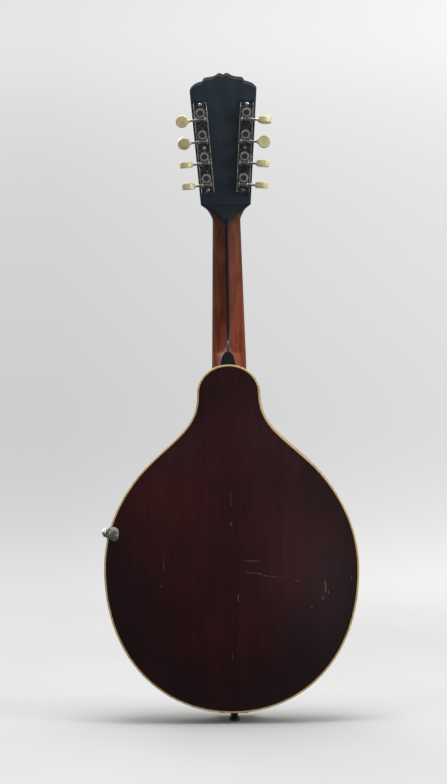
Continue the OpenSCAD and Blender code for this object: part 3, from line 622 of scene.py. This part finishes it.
def spruce_top():
    """Spruce with straight growth lines under a varnish shaded from amber to dark cherry."""
    p = Paint("sunburst_spruce", Specular_IOR_Level=0.45, Coat_Weight=0.35, Coat_Roughness=0.14)
    x, y, z = p.parts()
    wander = p.noise(p.spread((9, 9, 3)), 1, 2)
    line_place = p.sum("ADD", x, p.sum("MULTIPLY", wander, 0.006))
    lines = p.add("ShaderNodeCombineXYZ")
    p.join(line_place, lines.inputs[0])
    growth = p.wave(lines.outputs[0], 210, 0, 0, "X")
    fine = p.noise(p.spread((1500, 1500, 22)), 1, 4, 0.6)
    silk = p.noise(p.spread((60, 60, 420)), 1, 3, 0.5)
    middle = p.spread((1 / 0.1273, 0, 1 / 0.165), move=(0, 0, -0.185 / 0.165))
    burst = p.sum("ADD", p.length(middle), p.sum("MULTIPLY", p.noise(p.place, 14, 3), 0.12))
    shade = p.ramp(burst, [
        (0.2, (0.60, 0.225, 0.045)),
        (0.5, (0.42, 0.110, 0.022)),
        (0.74, (0.130, 0.022, 0.010)),
        (0.93, (0.028, 0.0062, 0.0050)),
    ], "B_SPLINE")
    dark_lines = p.ramp(growth, [(0.0, 1.0), (0.55, 0.97), (0.9, 0.66)])
    colour = p.blend(1.0, shade, dark_lines, "MULTIPLY")
    streaked = p.ramp(p.sum("ADD", p.sum("MULTIPLY", fine, 0.6), p.sum("MULTIPLY", silk, 0.4)), [
        (0.35, 0.82), (0.65, 1.0)
    ])
    colour = p.blend(1.0, colour, streaked, "MULTIPLY")
    marks = nicks(p, p.spread((380, 380, 160), (0, 0.4, 0)), 1, 0.36)
    colour = p.blend(p.sum("MULTIPLY", marks, 0.5), colour, (0.12, 0.07, 0.04))
    shine = p.scaled(p.noise(p.place, 45, 4, 0.6), 0.2, 0.38)
    relief = p.sum("SUBTRACT", p.sum("ADD", growth, fine), p.sum("MULTIPLY", marks, 2.0))
    return p.finish(colour, shine, p.bump(relief, 0.00008, 0.5))


def bare_wood():
    """Unvarnished pale wood inside the box."""
    p = Paint("bare_wood", Specular_IOR_Level=0.2)
    fine = p.noise(p.spread((500, 500, 24)), 1, 5, 0.6)
    bands = p.noise(p.spread((80, 80, 5)), 1, 3, 0.5, 0.8)
    tone = p.sum("ADD", p.sum("MULTIPLY", fine, 0.5), p.sum("MULTIPLY", bands, 0.5))
    colour = p.ramp(tone, [(0.35, (0.40, 0.25, 0.12)), (0.65, (0.62, 0.44, 0.25))])
    return p.finish(colour, p.scaled(fine, 0.6, 0.85), p.bump(fine, 0.0002, 0.6))


def metal(name, light, dark, rough=(0.18, 0.4), grime=0.5, scale=260):
    """Plated metal with tarnish that gathers in patches."""
    p = Paint(name, Metallic=1.0)
    cloud = p.noise(p.place, scale, 5, 0.65)
    rub = p.noise(p.spread((2600, 400, 400)), 1, 2, 0.5)
    colour = p.blend(p.sum("MULTIPLY", p.within(cloud, 0.42, 0.68), grime), light, dark)
    shine = p.scaled(cloud, *rough)
    relief = p.sum("ADD", rub, p.sum("MULTIPLY", cloud, 0.6))
    return p.finish(colour, shine, p.bump(relief, 0.00004, 0.5))


def in_head(p, origin=None):
    """The place as seen from the headstock, or from a frame turned the same way."""
    origin = HEAD_ORIGIN * MM if origin is None else origin
    return p.spread((1, 1, 1), (-HEAD_ANGLE, 0, 0), move=origin, kind="TEXTURE")


def engraved_plate():
    """Blue-black aged nickel with small bright specks of wear; its raised lugs and beads are painted
    bright, partly wear and partly a painted highlight.
    """
    p = Paint("engraved_nickel", Metallic=0.75, Specular_IOR_Level=0.5)
    _, y, _ = p.parts(in_head(p))
    swirl = p.wave(p.place, 300, 9.0, 2, "DIAGONAL", "RINGS")
    leaf = p.cells(p.place, 520, "SMOOTH_F1")
    cut = p.sum("ADD", p.sum("MULTIPLY", p.within(swirl, 0.45, 0.6), 0.5), p.within(leaf, 0.25, 0.4))
    dust = p.noise(p.place, 330, 3, 0.6)
    dark = p.ramp(dust, [(0.35, (0.045, 0.056, 0.066)), (0.7, (0.100, 0.115, 0.128))])
    specks = p.sum("MULTIPLY", p.within(p.noise(p.place, 620, 2), 0.56, 0.66), 0.45)
    # raised lugs and beads painted bright: partly wear, partly a painted highlight where their edges catch
    # the light
    wear_and_highlight = p.sum("MAXIMUM", specks, p.within(y, PLATE_TOP + 0.0001, PLATE_TOP + 0.0004))
    # this bright colour serves the worn specks and the painted highlight on the raised parts
    worn = p.ramp(dust, [(0.35, (0.34, 0.34, 0.31)), (0.65, (0.80, 0.80, 0.76))])
    colour = p.blend(wear_and_highlight, dark, worn)
    return p.finish(colour, p.scaled(dust, 0.2, 0.4), p.bump(cut, 0.0001, 0.5))


def around(radius, half):
    """Metres from just before to just after a radius in millimetres."""
    return (radius - half) * MM, (radius + half) * MM


def gear_metal(name, k, side):
    """Bright gear and post with a dark screw in the middle of the gear, and a dark band between the teeth
    that is partly dirt and partly painted shade.
    """
    p = Paint(name, Metallic=0.45, Specular_IOR_Level=0.6)
    x, y, z = p.parts(in_head(p, post_frame(k, side).to_translation() * MM))
    across = p.sum("POWER", p.sum("ADD", p.sum("MULTIPLY", x, x), p.sum("MULTIPLY", z, z)), 0.5)
    behind = p.within(y, 0.0166, 0.0170)
    screw = p.sum("MULTIPLY", p.within(across, *around(GEAR_SCREW_R, -0.06)), behind)
    # dark band at the root of the teeth: partly dirt, partly painted shade between them
    teeth = p.sum("MULTIPLY", p.within(across, *around(GEAR_ROOT_R, 0.2)), behind)
    cloud = p.noise(p.place, 420, 4, 0.6)
    metal_colour = p.ramp(cloud, [(0.35, (0.50, 0.50, 0.47)), (0.7, (0.84, 0.83, 0.78))])
    # darkens the teeth's roots with dirt and painted shade
    colour = p.blend(p.sum("MULTIPLY", teeth, 0.5), metal_colour, (0.13, 0.12, 0.10))
    colour = p.blend(p.sum("MULTIPLY", screw, 0.93), colour, (0.055, 0.052, 0.056))
    shine = p.scaled(cloud, 0.14, 0.32)
    return p.finish(colour, shine, p.bump(cloud, 0.00004, 0.5))


def wound_strings():
    """Bronze windings on the bass side and plain steel on the treble side."""
    p = Paint("string_metal", Metallic=1.0)
    x, y, z = p.parts()
    bass = p.within(x, 0.0002, -0.0002)
    winding = p.wave(p.place, 900, 0, 0, "Z")
    stained = p.noise(p.place, 300, 3)
    bronze = p.ramp(stained, [(0.35, (0.34, 0.17, 0.07)), (0.7, (0.62, 0.36, 0.17))])
    steel = p.ramp(stained, [(0.35, (0.40, 0.39, 0.37)), (0.7, (0.70, 0.69, 0.66))])
    colour = p.blend(bass, steel, bronze)
    shine = p.scaled(stained, 0.2, 0.36)
    return p.finish(colour, shine, p.bump(p.sum("MULTIPLY", winding, bass), 0.00006, 0.6))


def pearl_paint():
    """Mother of pearl: pale, with soft clouds of green and pink."""
    p = Paint("pearl_shell", Specular_IOR_Level=0.6, Coat_Weight=0.6, Coat_Roughness=0.08)
    flow = p.noise(p.spread((260, 260, 90), (0, 0.4, 0)), 1, 4, 0.55, 1.5)
    colour = p.ramp(flow, [
        (0.3, (0.60, 0.66, 0.62)), (0.45, (0.84, 0.86, 0.80)), (0.58, (0.80, 0.68, 0.70)),
        (0.72, (0.62, 0.74, 0.72))
    ])
    return p.finish(colour, p.scaled(flow, 0.15, 0.35), p.bump(flow, 0.00006, 0.4))


def guard_plastic():
    """Dark mottled celluloid."""
    p = Paint("guard_celluloid", Specular_IOR_Level=0.5, Coat_Weight=0.4, Coat_Roughness=0.08)
    clouds = p.noise(p.spread((70, 70, 45)), 1, 4, 0.6, 1.6)
    colour = p.ramp(clouds, [
        (0.36, (0.012, 0.0045, 0.003)), (0.52, (0.045, 0.012, 0.006)), (0.7, (0.20, 0.062, 0.018))
    ])
    shine = p.scaled(p.noise(p.place, 90, 4), 0.12, 0.3)
    return p.finish(colour, shine, p.bump(p.noise(p.place, 60, 3), 0.0001, 0.4))


# place in X and Z, half width, half height (metres) and lean (radians) of the scuffs on the back
SCUFFS = [
    (0.0006, 0.228, 0.0006, 0.0090, 0.0), (0.0006, 0.2025, 0.0006, 0.0036, 0.0),
    (-0.031, 0.1515, 0.0005, 0.0256, 1.39), (-0.019, 0.166, 0.0004, 0.0100, 1.52),
    (-0.092, 0.139, 0.0009, 0.0072, 0.1), (-0.078, 0.118, 0.0011, 0.0015, 0.4),
    (-0.005, 0.129, 0.0007, 0.0050, 0.0), (0.005, 0.124, 0.0009, 0.0010, 0.0),
    (0.069, 0.163, 0.0004, 0.0090, 0.03), (-0.016, 0.303, 0.0007, 0.0009, 0.0),
    (-0.090, 0.128, 0.0008, 0.0035, -0.2), (-0.095, 0.133, 0.0006, 0.0022, 0.3),
    (0.072, 0.141, 0.0006, 0.0030, 0.0), (-0.062, 0.146, 0.0004, 0.0060, 0.9),
    (0.002, 0.070, 0.0006, 0.0060, 0.0), (-0.118, 0.147, 0.0005, 0.0030, 0.0),
]
BACK_PAINT = stained_wood("back_stain", upright_grain, SCUFFS)
RIM_PAINT = stained_wood("rim_stain", bent_grain)
NECK_PAINT = neck_wood()
# black lacquer whose colour is lifted to blue-grey: a painted sheen standing in for reflected light
BACK_LACQUER_AND_SHEEN = black_lacquer("headstock_back_lacquer_and_sheen", (0.040, 0.056, 0.071))
FRONT_LACQUER = black_lacquer("headstock_front_lacquer", (0.0085, 0.0105, 0.0125))
HEAD_EDGE = black_edge()
CAP_PAINT = black_lacquer("heel_cap_lacquer", (0.012, 0.0145, 0.017))
STRIP_PAINT = black_lacquer("strip_stain", (0.012, 0.009, 0.010), 0.5, (0.2, 0.34))
EBONY = ebony("dyed_hardwood")
BINDING_PAINT = aged_cream("aged_binding", (0.82, 0.60, 0.27), (0.66, 0.44, 0.17), (0.28, 0.15, 0.06))
IVORY = aged_cream("aged_bone", (0.78, 0.70, 0.50), (0.66, 0.55, 0.34), (0.30, 0.20, 0.10))
BUTTON_PAINT = aged_cream(
    "button_ivoroid", (0.95, 0.87, 0.54), (0.86, 0.74, 0.38), (0.45, 0.33, 0.12), (0.12, 0.3)
)
RING_PAINT = aged_cream("ring_celluloid", (0.70, 0.60, 0.38), (0.55, 0.43, 0.24), (0.2, 0.12, 0.06))
SPRUCE = spruce_top()
BARE = bare_wood()
BRIGHT = metal("bright_nickel", (0.70, 0.69, 0.65), (0.30, 0.27, 0.22))
DULL = metal("tarnished_nickel", (0.50, 0.48, 0.43), (0.17, 0.14, 0.11), (0.28, 0.55), 0.8, 420)
SILVERY = metal("clamp_nickel", (0.50, 0.52, 0.46), (0.20, 0.20, 0.16), (0.2, 0.45), 0.8, 380)
SHAFT_PAINT = metal("shaft_nickel", (0.40, 0.40, 0.38), (0.14, 0.13, 0.11), (0.25, 0.5), 0.7, 420)
PLATE_PAINT = engraved_plate()
STRING_PAINT = wound_strings()
PEARL = pearl_paint()
GUARD = guard_plastic()


def repaint(paint, *nodes):
    for name in nodes:
        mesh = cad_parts[name].data
        mesh.materials.clear()
        mesh.materials.append(paint)


# Sound box

EDGE_SHARES = [0, 0.004, 0.01, 0.018, 0.028, 0.04, 0.054, 0.07, 0.09, 0.112, 0.137, 0.165, 0.195, 0.228]
MIDDLE_SHARES = [0.265 + 0.0525 * i for i in range(15)]
SHARES = EDGE_SHARES + MIDDLE_SHARES


# the centre line that the back's rings close on ends this far from the tail and from the neck
SPINE_LOW = 92
SPINE_HIGH = 14


def spine_point(p):
    """Point of the centre line that an outline point is drawn towards."""
    share = (p[1] - TAIL_Z) / BODY_LEN
    return (0, TAIL_Z + SPINE_LOW + share * (BODY_LEN - SPINE_LOW - SPINE_HIGH))


def hole_point(p):
    """Point of the sound hole's edge that faces a point of the outline."""
    x, z = p[0], p[1] - HOLE_Z
    size = math.hypot(x / HOLE_HALF[0], z / HOLE_HALF[1])
    return (x / size, HOLE_Z + z / size)


def plate_ring(edge, target, share, height):
    ring = []
    for p in edge:
        q = target(p)
        x, z = p[0] * (1 - share) + q[0] * share, p[1] * (1 - share) + q[1] * share
        ring.append((x, height(x, z), z))
    return ring


def build_back():
    edge = body_outline(BINDING_W + 0.02)
    rings = [plate_ring(edge, spine_point, s, lambda x, z: inner_y(x, z, BACK_ARCH))
             for s in reversed(SHARES)]
    rings += [plate_ring(edge, spine_point, s, lambda x, z: outer_y(x, z, BACK_ARCH))
              for s in SHARES]
    make_piece("back", [skin(rings, capped=False)], BACK_PAINT, ["back_plate"])


def build_top():
    edge = body_outline(BINDING_W + 0.02)
    rings = [plate_ring(edge, hole_point, s, lambda x, z: -inner_y(x, z, TOP_ARCH)) for s in SHARES]
    rings += [plate_ring(edge, hole_point, s, lambda x, z: -outer_y(x, z, TOP_ARCH))
              for s in reversed(SHARES)]
    make_piece("top", [skin(rings, looped=True)], SPRUCE, ["soundboard"])


def build_rim():
    outer, inner = body_outline(0), body_outline(RIM_THICK)
    rings = [[(x, y, z) for x, z in ring] for ring, y in (
        (inner, RIM_Y), (outer, RIM_Y), (outer, -RIM_Y), (inner, -RIM_Y)
    )]
    make_piece("sides", [skin(rings, looped=True)], RIM_PAINT, ["rim"])


def build_binding():
    """Both binding strips, each rounded over on its outer corner."""
    shapes = []
    section = [(0, 0), (0, 3.0), (0.07, 3.3), (0.24, 3.5), (0.5, 3.6), (BINDING_W, 3.6), (BINDING_W, 0)]
    for side in (-1, 1):
        rings = [[(x, side * (RIM_Y + h), z) for x, z in body_outline(d)] for d, h in section]
        shapes.append(skin(rings, looped=True))
    make_piece("binding", shapes, BINDING_PAINT, ["body_binding"])


def build_hole_rings():
    """Two inlaid bands that follow the arch round the sound hole."""
    steps = 144
    shapes = []
    for out0, out1 in ((2.2, 3.6), (4.0, 5.2)):
        section = [
            (out0, 0.1), (out0, 0.3), (out0 + 0.1, 0.35), (out1 - 0.1, 0.35), (out1, 0.3), (out1, 0.1)
        ]
        rings = []
        for out, lift in section:
            ring = []
            for i in range(steps):
                a = 2 * math.pi * i / steps
                x = (HOLE_HALF[0] + out) * math.cos(a)
                z = HOLE_Z + (HOLE_HALF[1] + out) * math.sin(a)
                ring.append((x, -outer_y(x, z, TOP_ARCH) - lift, z))
            rings.append(ring)
        shapes.append(skin(rings, looped=True))
    make_piece("rosette", shapes, RING_PAINT, ["sound_hole_rings"])


# Neck and headstock

QUARTER_STEPS = 28
# what is deeper than this is the narrow fin of the heel
SHAFT_DEPTH = 19.5
FIN_POWER = 14
# height above the body, half width of the flat ridge, depth (0 is as deep as the cap), roundness
SHAFT_SECTIONS = [
    (-9, 7.25, 0, 1.3), (0, 7.25, 0, 1.3), (4, 6.87, 0, 1.3), (8, 5.77, 0, 1.3), (10.5, 4.41, 0, 1.3),
    (12, 2.97, 0, 1.3), (12.9, 1.3, 0, 1.3), (13.6, 1, 41.5, 1.3), (14.6, 1, 38, 1.3),
    (16.6, 1, 32, 1.3), (19.6, 1, 27, 1.3), (24, 1, 22.6, 1.3), (30, 1, 20.2, 1.35),
    (38, 1, 18.6, 1.4), (50, 1, 17.7, 1.45), (80, 1, 16.8, 1.45), (116, 1, 15.7, 1.5),
    (138, 1, 15, 1.6),
]
# length along the headstock, half width, depth and roundness
FLARE_SECTIONS = [
    (0, 14.4, 14.3, 1.75), (2.6, 15.4, 13.9, 1.9), (5.7, 16.7, 13.3, 2.3), (8.8, 18.3, 12.9, 3),
    (11.8, 20.3, 12.6, 4.5), (13.6, 21.8, 12.5, 7), (14.9, 23.2, 12.5, 10), (16.5, 25.1, 12.45, 14),
    (19, 24.9, 12.4, 14),
]


def board_half(z):
    return NUT_HALF + BOARD_FLARE * (NUT_Z - z)


def neck_ring(half, flat, depth, round_):
    quarter = []
    fin = max(0, depth - SHAFT_DEPTH)
    for i in range(QUARTER_STEPS + 1):
        a = math.pi / 2 * i / QUARTER_STEPS
        c, s = max(0, math.cos(a)), math.sin(a)
        y = (depth - fin) * s ** (2 / round_) + fin * s**FIN_POWER
        quarter.append((flat + (half - flat) * c ** (2 / round_), y))
    return quarter + [(-x, y) for x, y in reversed(quarter)]


def neck_rings():
    rings = []
    for above, flat, depth, round_ in SHAFT_SECTIONS:
        z = HEEL_Z + above
        deep = depth or HEEL_DEPTH - neck_y(z)
        ring = neck_ring(board_half(z), flat, deep, round_)
        rings.append([(x, neck_y(z) + y, z) for x, y in ring])
    for along, half, depth, round_ in FLARE_SECTIONS:
        rings.append([from_head(x, y, along) for x, y in neck_ring(half, 1, depth, round_)])
    return rings


def crown_side():
    """Treble half of the headstock's top edge: shoulder, step, dip and centre bump."""
    shoulder = bez_points([(33.15, 132.8), (30.6, 137.4), (26, 139.1), (21.2, 140)], 10)
    dip = bez_points([(17.9, 143.8), (13, 144), (9, 144.6), (6.2, 146.8)], 8)
    return shoulder + [(19.9, 142.4)] + dip + [(4.4, 147.8), (2.6, 147.8), (1, 147)]


def head_plan(low):
    side = low + crown_side()
    return side + [(0, 146.4)] + [(-x, z) for x, z in reversed(side)]


def build_neck():
    shaft = lofted(neck_rings(), 2.2)
    corner = [(25.15, 17.2)]
    core = prism(head_plan(corner), 0, HEAD_THICK, from_head, 0, 0)
    make_piece("neck_shaft", [skin(shaft)], NECK_PAINT, ["neck"], sharp=50)
    make_piece("head_core", [core], HEAD_EDGE, ["neck"])
    veneer = prism(
        head_plan(corner), HEAD_THICK + 0.01, HEAD_THICK + VENEER_THICK, from_head, 0, 0.45
    )
    make_piece("head_back", [veneer], BACK_LACQUER_AND_SHEEN, ["headstock_back_veneer"])
    flare = [(half, along) for along, half, _, _ in FLARE_SECTIONS if 0.3 < along < 17]
    flare = [(14.45, 0.3)] + flare
    overlay = prism(head_plan(flare), -OVERLAY_THICK, -0.01, from_head, 0.4, 0)
    make_piece("head_front", [overlay], FRONT_LACQUER, ["headstock_overlay"])


def surface_y(quarter, x):
    """Height of the neck's back at a distance from the middle, from one half of its ring."""
    for outer, inner in zip(quarter, quarter[1:]):
        if inner[0] <= x <= outer[0]:
            return inner[1] + (outer[1] - inner[1]) * (x - inner[0]) / max(TINY, outer[0] - inner[0])
    return quarter[-1][1]


def build_strip():
    """The dark strip let into the ridge of the neck, a hair proud of it."""
    rings = []
    for ring in lofted(neck_rings(), 2.2):
        z = ring[QUARTER_STEPS][2]
        if not HEEL_Z + HEEL_CAP_LEN < z < NUT_Z + 3:
            continue
        share = (z - HEEL_Z) / (NUT_Z - HEEL_Z)
        half = 0.85 + 0.65 * share
        quarter = ring[: QUARTER_STEPS + 1]
        top = [(x, surface_y(quarter, x) + 0.03) for x in (half, half * 0.75, half * 0.4)]
        right = [(half, top[0][1] - 3)] + top
        rings.append([(x, y, z) for x, y in right] + [(-x, y, z) for x, y in reversed(right)])
    make_piece("neck_strip", [skin(rings)], STRIP_PAINT, ["neck_center_strip"])


def end_of_body(x):
    """Height of the body's rounded upper end at a distance from the middle."""
    side = [p for p in body_side(0) if p[1] > HEEL_Z - 20]
    for (x0, z0), (x1, z1) in zip(side, side[1:]):
        if x1 <= abs(x) <= x0:
            return z0 + (z1 - z0) * (x0 - abs(x)) / max(TINY, x0 - x1)
    return HEEL_Z


def build_heel_cap():
    """A round-topped arch whose foot follows the rounded end of the body."""
    half = HEEL_CAP_HALF
    right = bez_points([(half, 0), (7.1, 6.5), (4.8, 12.8), (0, HEEL_CAP_LEN)], 20)
    plan = [(x, HEEL_Z + z) for x, z in right + [(-x, z) for x, z in reversed(right) if x > TINY]]
    foot = [half * (i / 6 - 1) for i in range(13)]
    plan += [(x, end_of_body(x) + 0.04) for x in foot]
    cap = prism(plan, HEEL_DEPTH + 0.01, FACE_Y, here, 0, 0.5)
    make_piece("heel_button", [cap], CAP_PAINT, ["heel_cap"])


# Turned parts


def build_end_pin():
    profile = [
        (0, 0), (3.9, 0), (4.7, 0.08), (5.3, 0.32), (5.75, 0.78), (5.98, 1.45), (5.92, 2.1),
        (5.62, 2.75), (5.05, 3.35), (4.45, 3.9), (3.95, 4.5), (3.66, 5.2), (3.6, 5.9), (3.76, 6.6),
        (4.1, 7.3), (4.45, 7.9), (4.6, 8.2), (4.6, 8.5), (4.45, 8.68), (3.15, 8.7), (3.15, 31),
    ]
    make_piece("pin", [turned(profile, here, 64)], EBONY, ["end_pin"], sharp=60)


def button_profile():
    """Radius and height of the flat disc from the middle of one face to the other."""
    steps = 6
    corner = []
    for i in range(steps + 1):
        a = math.pi / 2 * i / steps
        out = BUTTON_R - BUTTON_EDGE * (1 - math.sin(a))
        corner.append((out, BUTTON_HALF - BUTTON_EDGE * (1 - math.cos(a))))
    face = [(0, BUTTON_HALF + 0.02), (2.2, BUTTON_HALF + 0.015), (4.2, BUTTON_HALF)]
    half = face + corner
    return half + [(r, -h) for r, h in reversed(half)]


def build_button(name, k, side, turn):
    at = post_frame(k, side) @ Matrix.Translation((0, SHAFT_Y, -WORM_DROP))
    at = at @ Matrix.Rotation(math.radians(turn), 4, "X")

    def paddle(x, y, z):
        return tuple(at @ Vector((BUTTON_AT + x, z, y)))

    def stem(x, y, z):
        return tuple(at @ Vector((BUTTON_AT - BUTTON_R - COLLAR_LEN + z, x, y)))

    collar = [
        (1.35, -0.02), (2.0, 0), (2.22, 0.25), (2.3, 0.8), (2.45, 1.5), (2.75, 2.3), (3.1, 3.4), (0.5, 3.6)
    ]
    shapes = [turned(button_profile(), paddle, 48), turned(collar, stem, 32)]
    node = f"button_{name}"
    make_piece(f"knob_{name}", shapes, BUTTON_PAINT, [node], f"knob_{name}", 60)


TREBLE = {"e2": 104, "e1": 101, "a2": -7, "a1": 6}
BASS = {"g1": 102, "g2": 108, "d1": 18, "d2": 113}


def build_tuners():
    for side, names in ((1, TREBLE), (-1, BASS)):
        for k, (name, turn) in enumerate(names.items()):
            build_button(name, 3 - k, side, turn)
            repaint(gear_metal(f"gear_nickel_{name}", 3 - k, side), f"string_post_{name}")
            repaint(SHAFT_PAINT, f"worm_shaft_{name}")
    repaint(PLATE_PAINT, "tuner_plate_treble", "tuner_plate_bass")
    repaint(BRIGHT, "tuner_plate_screws", "post_bushings")


build_back()
build_top()
build_rim()
build_binding()
build_hole_rings()
build_neck()
build_strip()
build_heel_cap()
build_end_pin()
build_tuners()

repaint(BARE, "head_block", "tail_block", "linings", "top_brace")
repaint(PEARL, "pearl_inlays")
repaint(IVORY, "nut")
repaint(EBONY, "fingerboard", "bridge")
repaint(BRIGHT, "frets", "tailpiece_cover", "pickguard_pins")
repaint(DULL, "tailpiece", "tailpiece_screws", "pickguard_bracket")
repaint(SILVERY, "clamp_foot", "clamp_nut")
repaint(GUARD, "pickguard")
repaint(STRING_PAINT, "strings")


# Studio


def build_floor():
    """A round pale floor that fades out into the background."""
    radius, rings = 2.4, 24
    mesh = bpy.data.meshes.new("floor")
    made = bmesh.new()
    bmesh.ops.create_circle(made, cap_ends=True, segments=rings * 4, radius=radius)
    made.to_mesh(mesh)
    made.free()
    p = Paint("floor_paper", Specular_IOR_Level=0.1)
    p.finish(p.ramp(p.noise(p.place, 3, 2), [(0.3, 0.48), (0.7, 0.51)]), 0.9)
    clear = p.add("ShaderNodeBsdfTransparent")
    fade = p.add("ShaderNodeMixShader")
    p.join(p.within(p.length(p.place), 0.45, 1.5), fade.inputs[0])
    p.join(p.shader.outputs[0], fade.inputs[1])
    p.join(clear.outputs[0], fade.inputs[2])
    p.join(fade.outputs[0], p.tree.nodes["Material Output"].inputs["Surface"])
    mesh.materials.append(p.material)
    floor = bpy.data.objects.new("floor", mesh)
    bpy.context.scene.collection.objects.link(floor)
    floor.visible_glossy = False
    floor.visible_diffuse = False
    floor.visible_shadow = False


def build_world():
    """The pale backdrop the camera sees, and the softer room that lights the instrument."""
    world = bpy.data.worlds.new("room")
    bpy.context.scene.world = world
    world.use_nodes = True
    room = Nodes(world.node_tree, "Generated")
    x, y, z = room.parts()
    seen = room.ramp(room.scaled(z, 0, 1, -0.2, 0.2), [
        (0.18, 0.92), (0.27, 0.88), (0.34, 0.76), (0.44, 0.69), (0.54, 0.71), (0.66, 0.74),
        (0.76, 0.76), (0.86, 0.83), (0.93, 0.91), (1.0, 0.88)
    ], "B_SPLINE")
    depth = room.ramp(room.scaled(y, 0, 1, -1, 1), [
        (0.0, 0.5), (0.2, 0.42), (0.38, 0.26), (0.5, 0.16), (0.7, 0.12), (1.0, 0.12)
    ])
    above = room.scaled(z, 0.0, 0.9, 0.25, 0.95)
    lit = room.blend(1.0, depth, above, "ADD")
    shades = []
    for colour, strength in ((lit, 1.0), (seen, room.scaled(x, 1.05, 0.88, -0.11, 0.11))):
        shade = room.add("ShaderNodeBackground")
        room.join(colour, shade.inputs["Color"])
        room.join(strength, shade.inputs["Strength"])
        shades.append(shade.outputs[0])
    choice = room.add("ShaderNodeMixShader")
    room.join(room.add("ShaderNodeLightPath").outputs["Is Camera Ray"], choice.inputs[0])
    for k, shade in enumerate(shades):
        room.join(shade, choice.inputs[1 + k])
    room.join(choice.outputs[0], room.tree.nodes["World Output"].inputs["Surface"])


def soft_light(name, place, target, size, power, colour=(1, 1, 1)):
    light = bpy.data.lights.new(name, "AREA")
    light.shape = "RECTANGLE"
    light.size, light.size_y = size
    light.energy = power
    light.color = colour
    lamp = bpy.data.objects.new(name, light)
    lamp.location = place
    lamp.rotation_euler = (Vector(target) - Vector(place)).to_track_quat("-Z", "Y").to_euler()
    lamp.visible_camera = False
    bpy.context.scene.collection.objects.link(lamp)
    return lamp


def build_camera():
    """The photograph's viewpoint: level, two metres behind the back and a little to its bass side."""
    camera = bpy.data.cameras.new("camera")
    camera.sensor_width = 36
    camera.lens = 91.84
    camera.clip_start = 0.05
    eye = bpy.data.objects.new("camera", camera)
    place, target = Vector((-0.0485, 2.0226, 0.3325)), Vector((0.005, 0.0226, 0.3325))
    facing = (target - place).to_track_quat("-Z", "Y").to_matrix().to_4x4()
    roll = Matrix.Rotation(math.radians(-0.95), 4, "Z")
    eye.matrix_world = Matrix.Translation(place) @ facing @ roll
    bpy.context.scene.collection.objects.link(eye)
    bpy.context.scene.camera = eye


build_floor()
build_world()
soft_light("key", (-2.2, 0.9, 1.0), (0, 0, 0.35), (0.9, 1.2), 30)
soft_light("fill", (2.0, 1.4, 0.7), (0, 0, 0.3), (1.0, 1.2), 4.5)
soft_light("overhead", (0.0, 0.15, 2.2), (0, 0, 0.4), (1.2, 0.8), 34)
soft_light("front", (0.9, -1.9, 1.4), (0, 0, 0.3), (1.2, 1.2), 12)
# a pale window, seen only as a soft reflection on the bass half of the back
window = soft_light("window", (-0.8, 2.0, -0.1), (-0.095, 0, 0.14), (0.35, 0.5), 1.3, (0.86, 0.93, 1))
window.visible_diffuse = False
build_camera()
bpy.context.scene.view_settings.view_transform = "Standard"
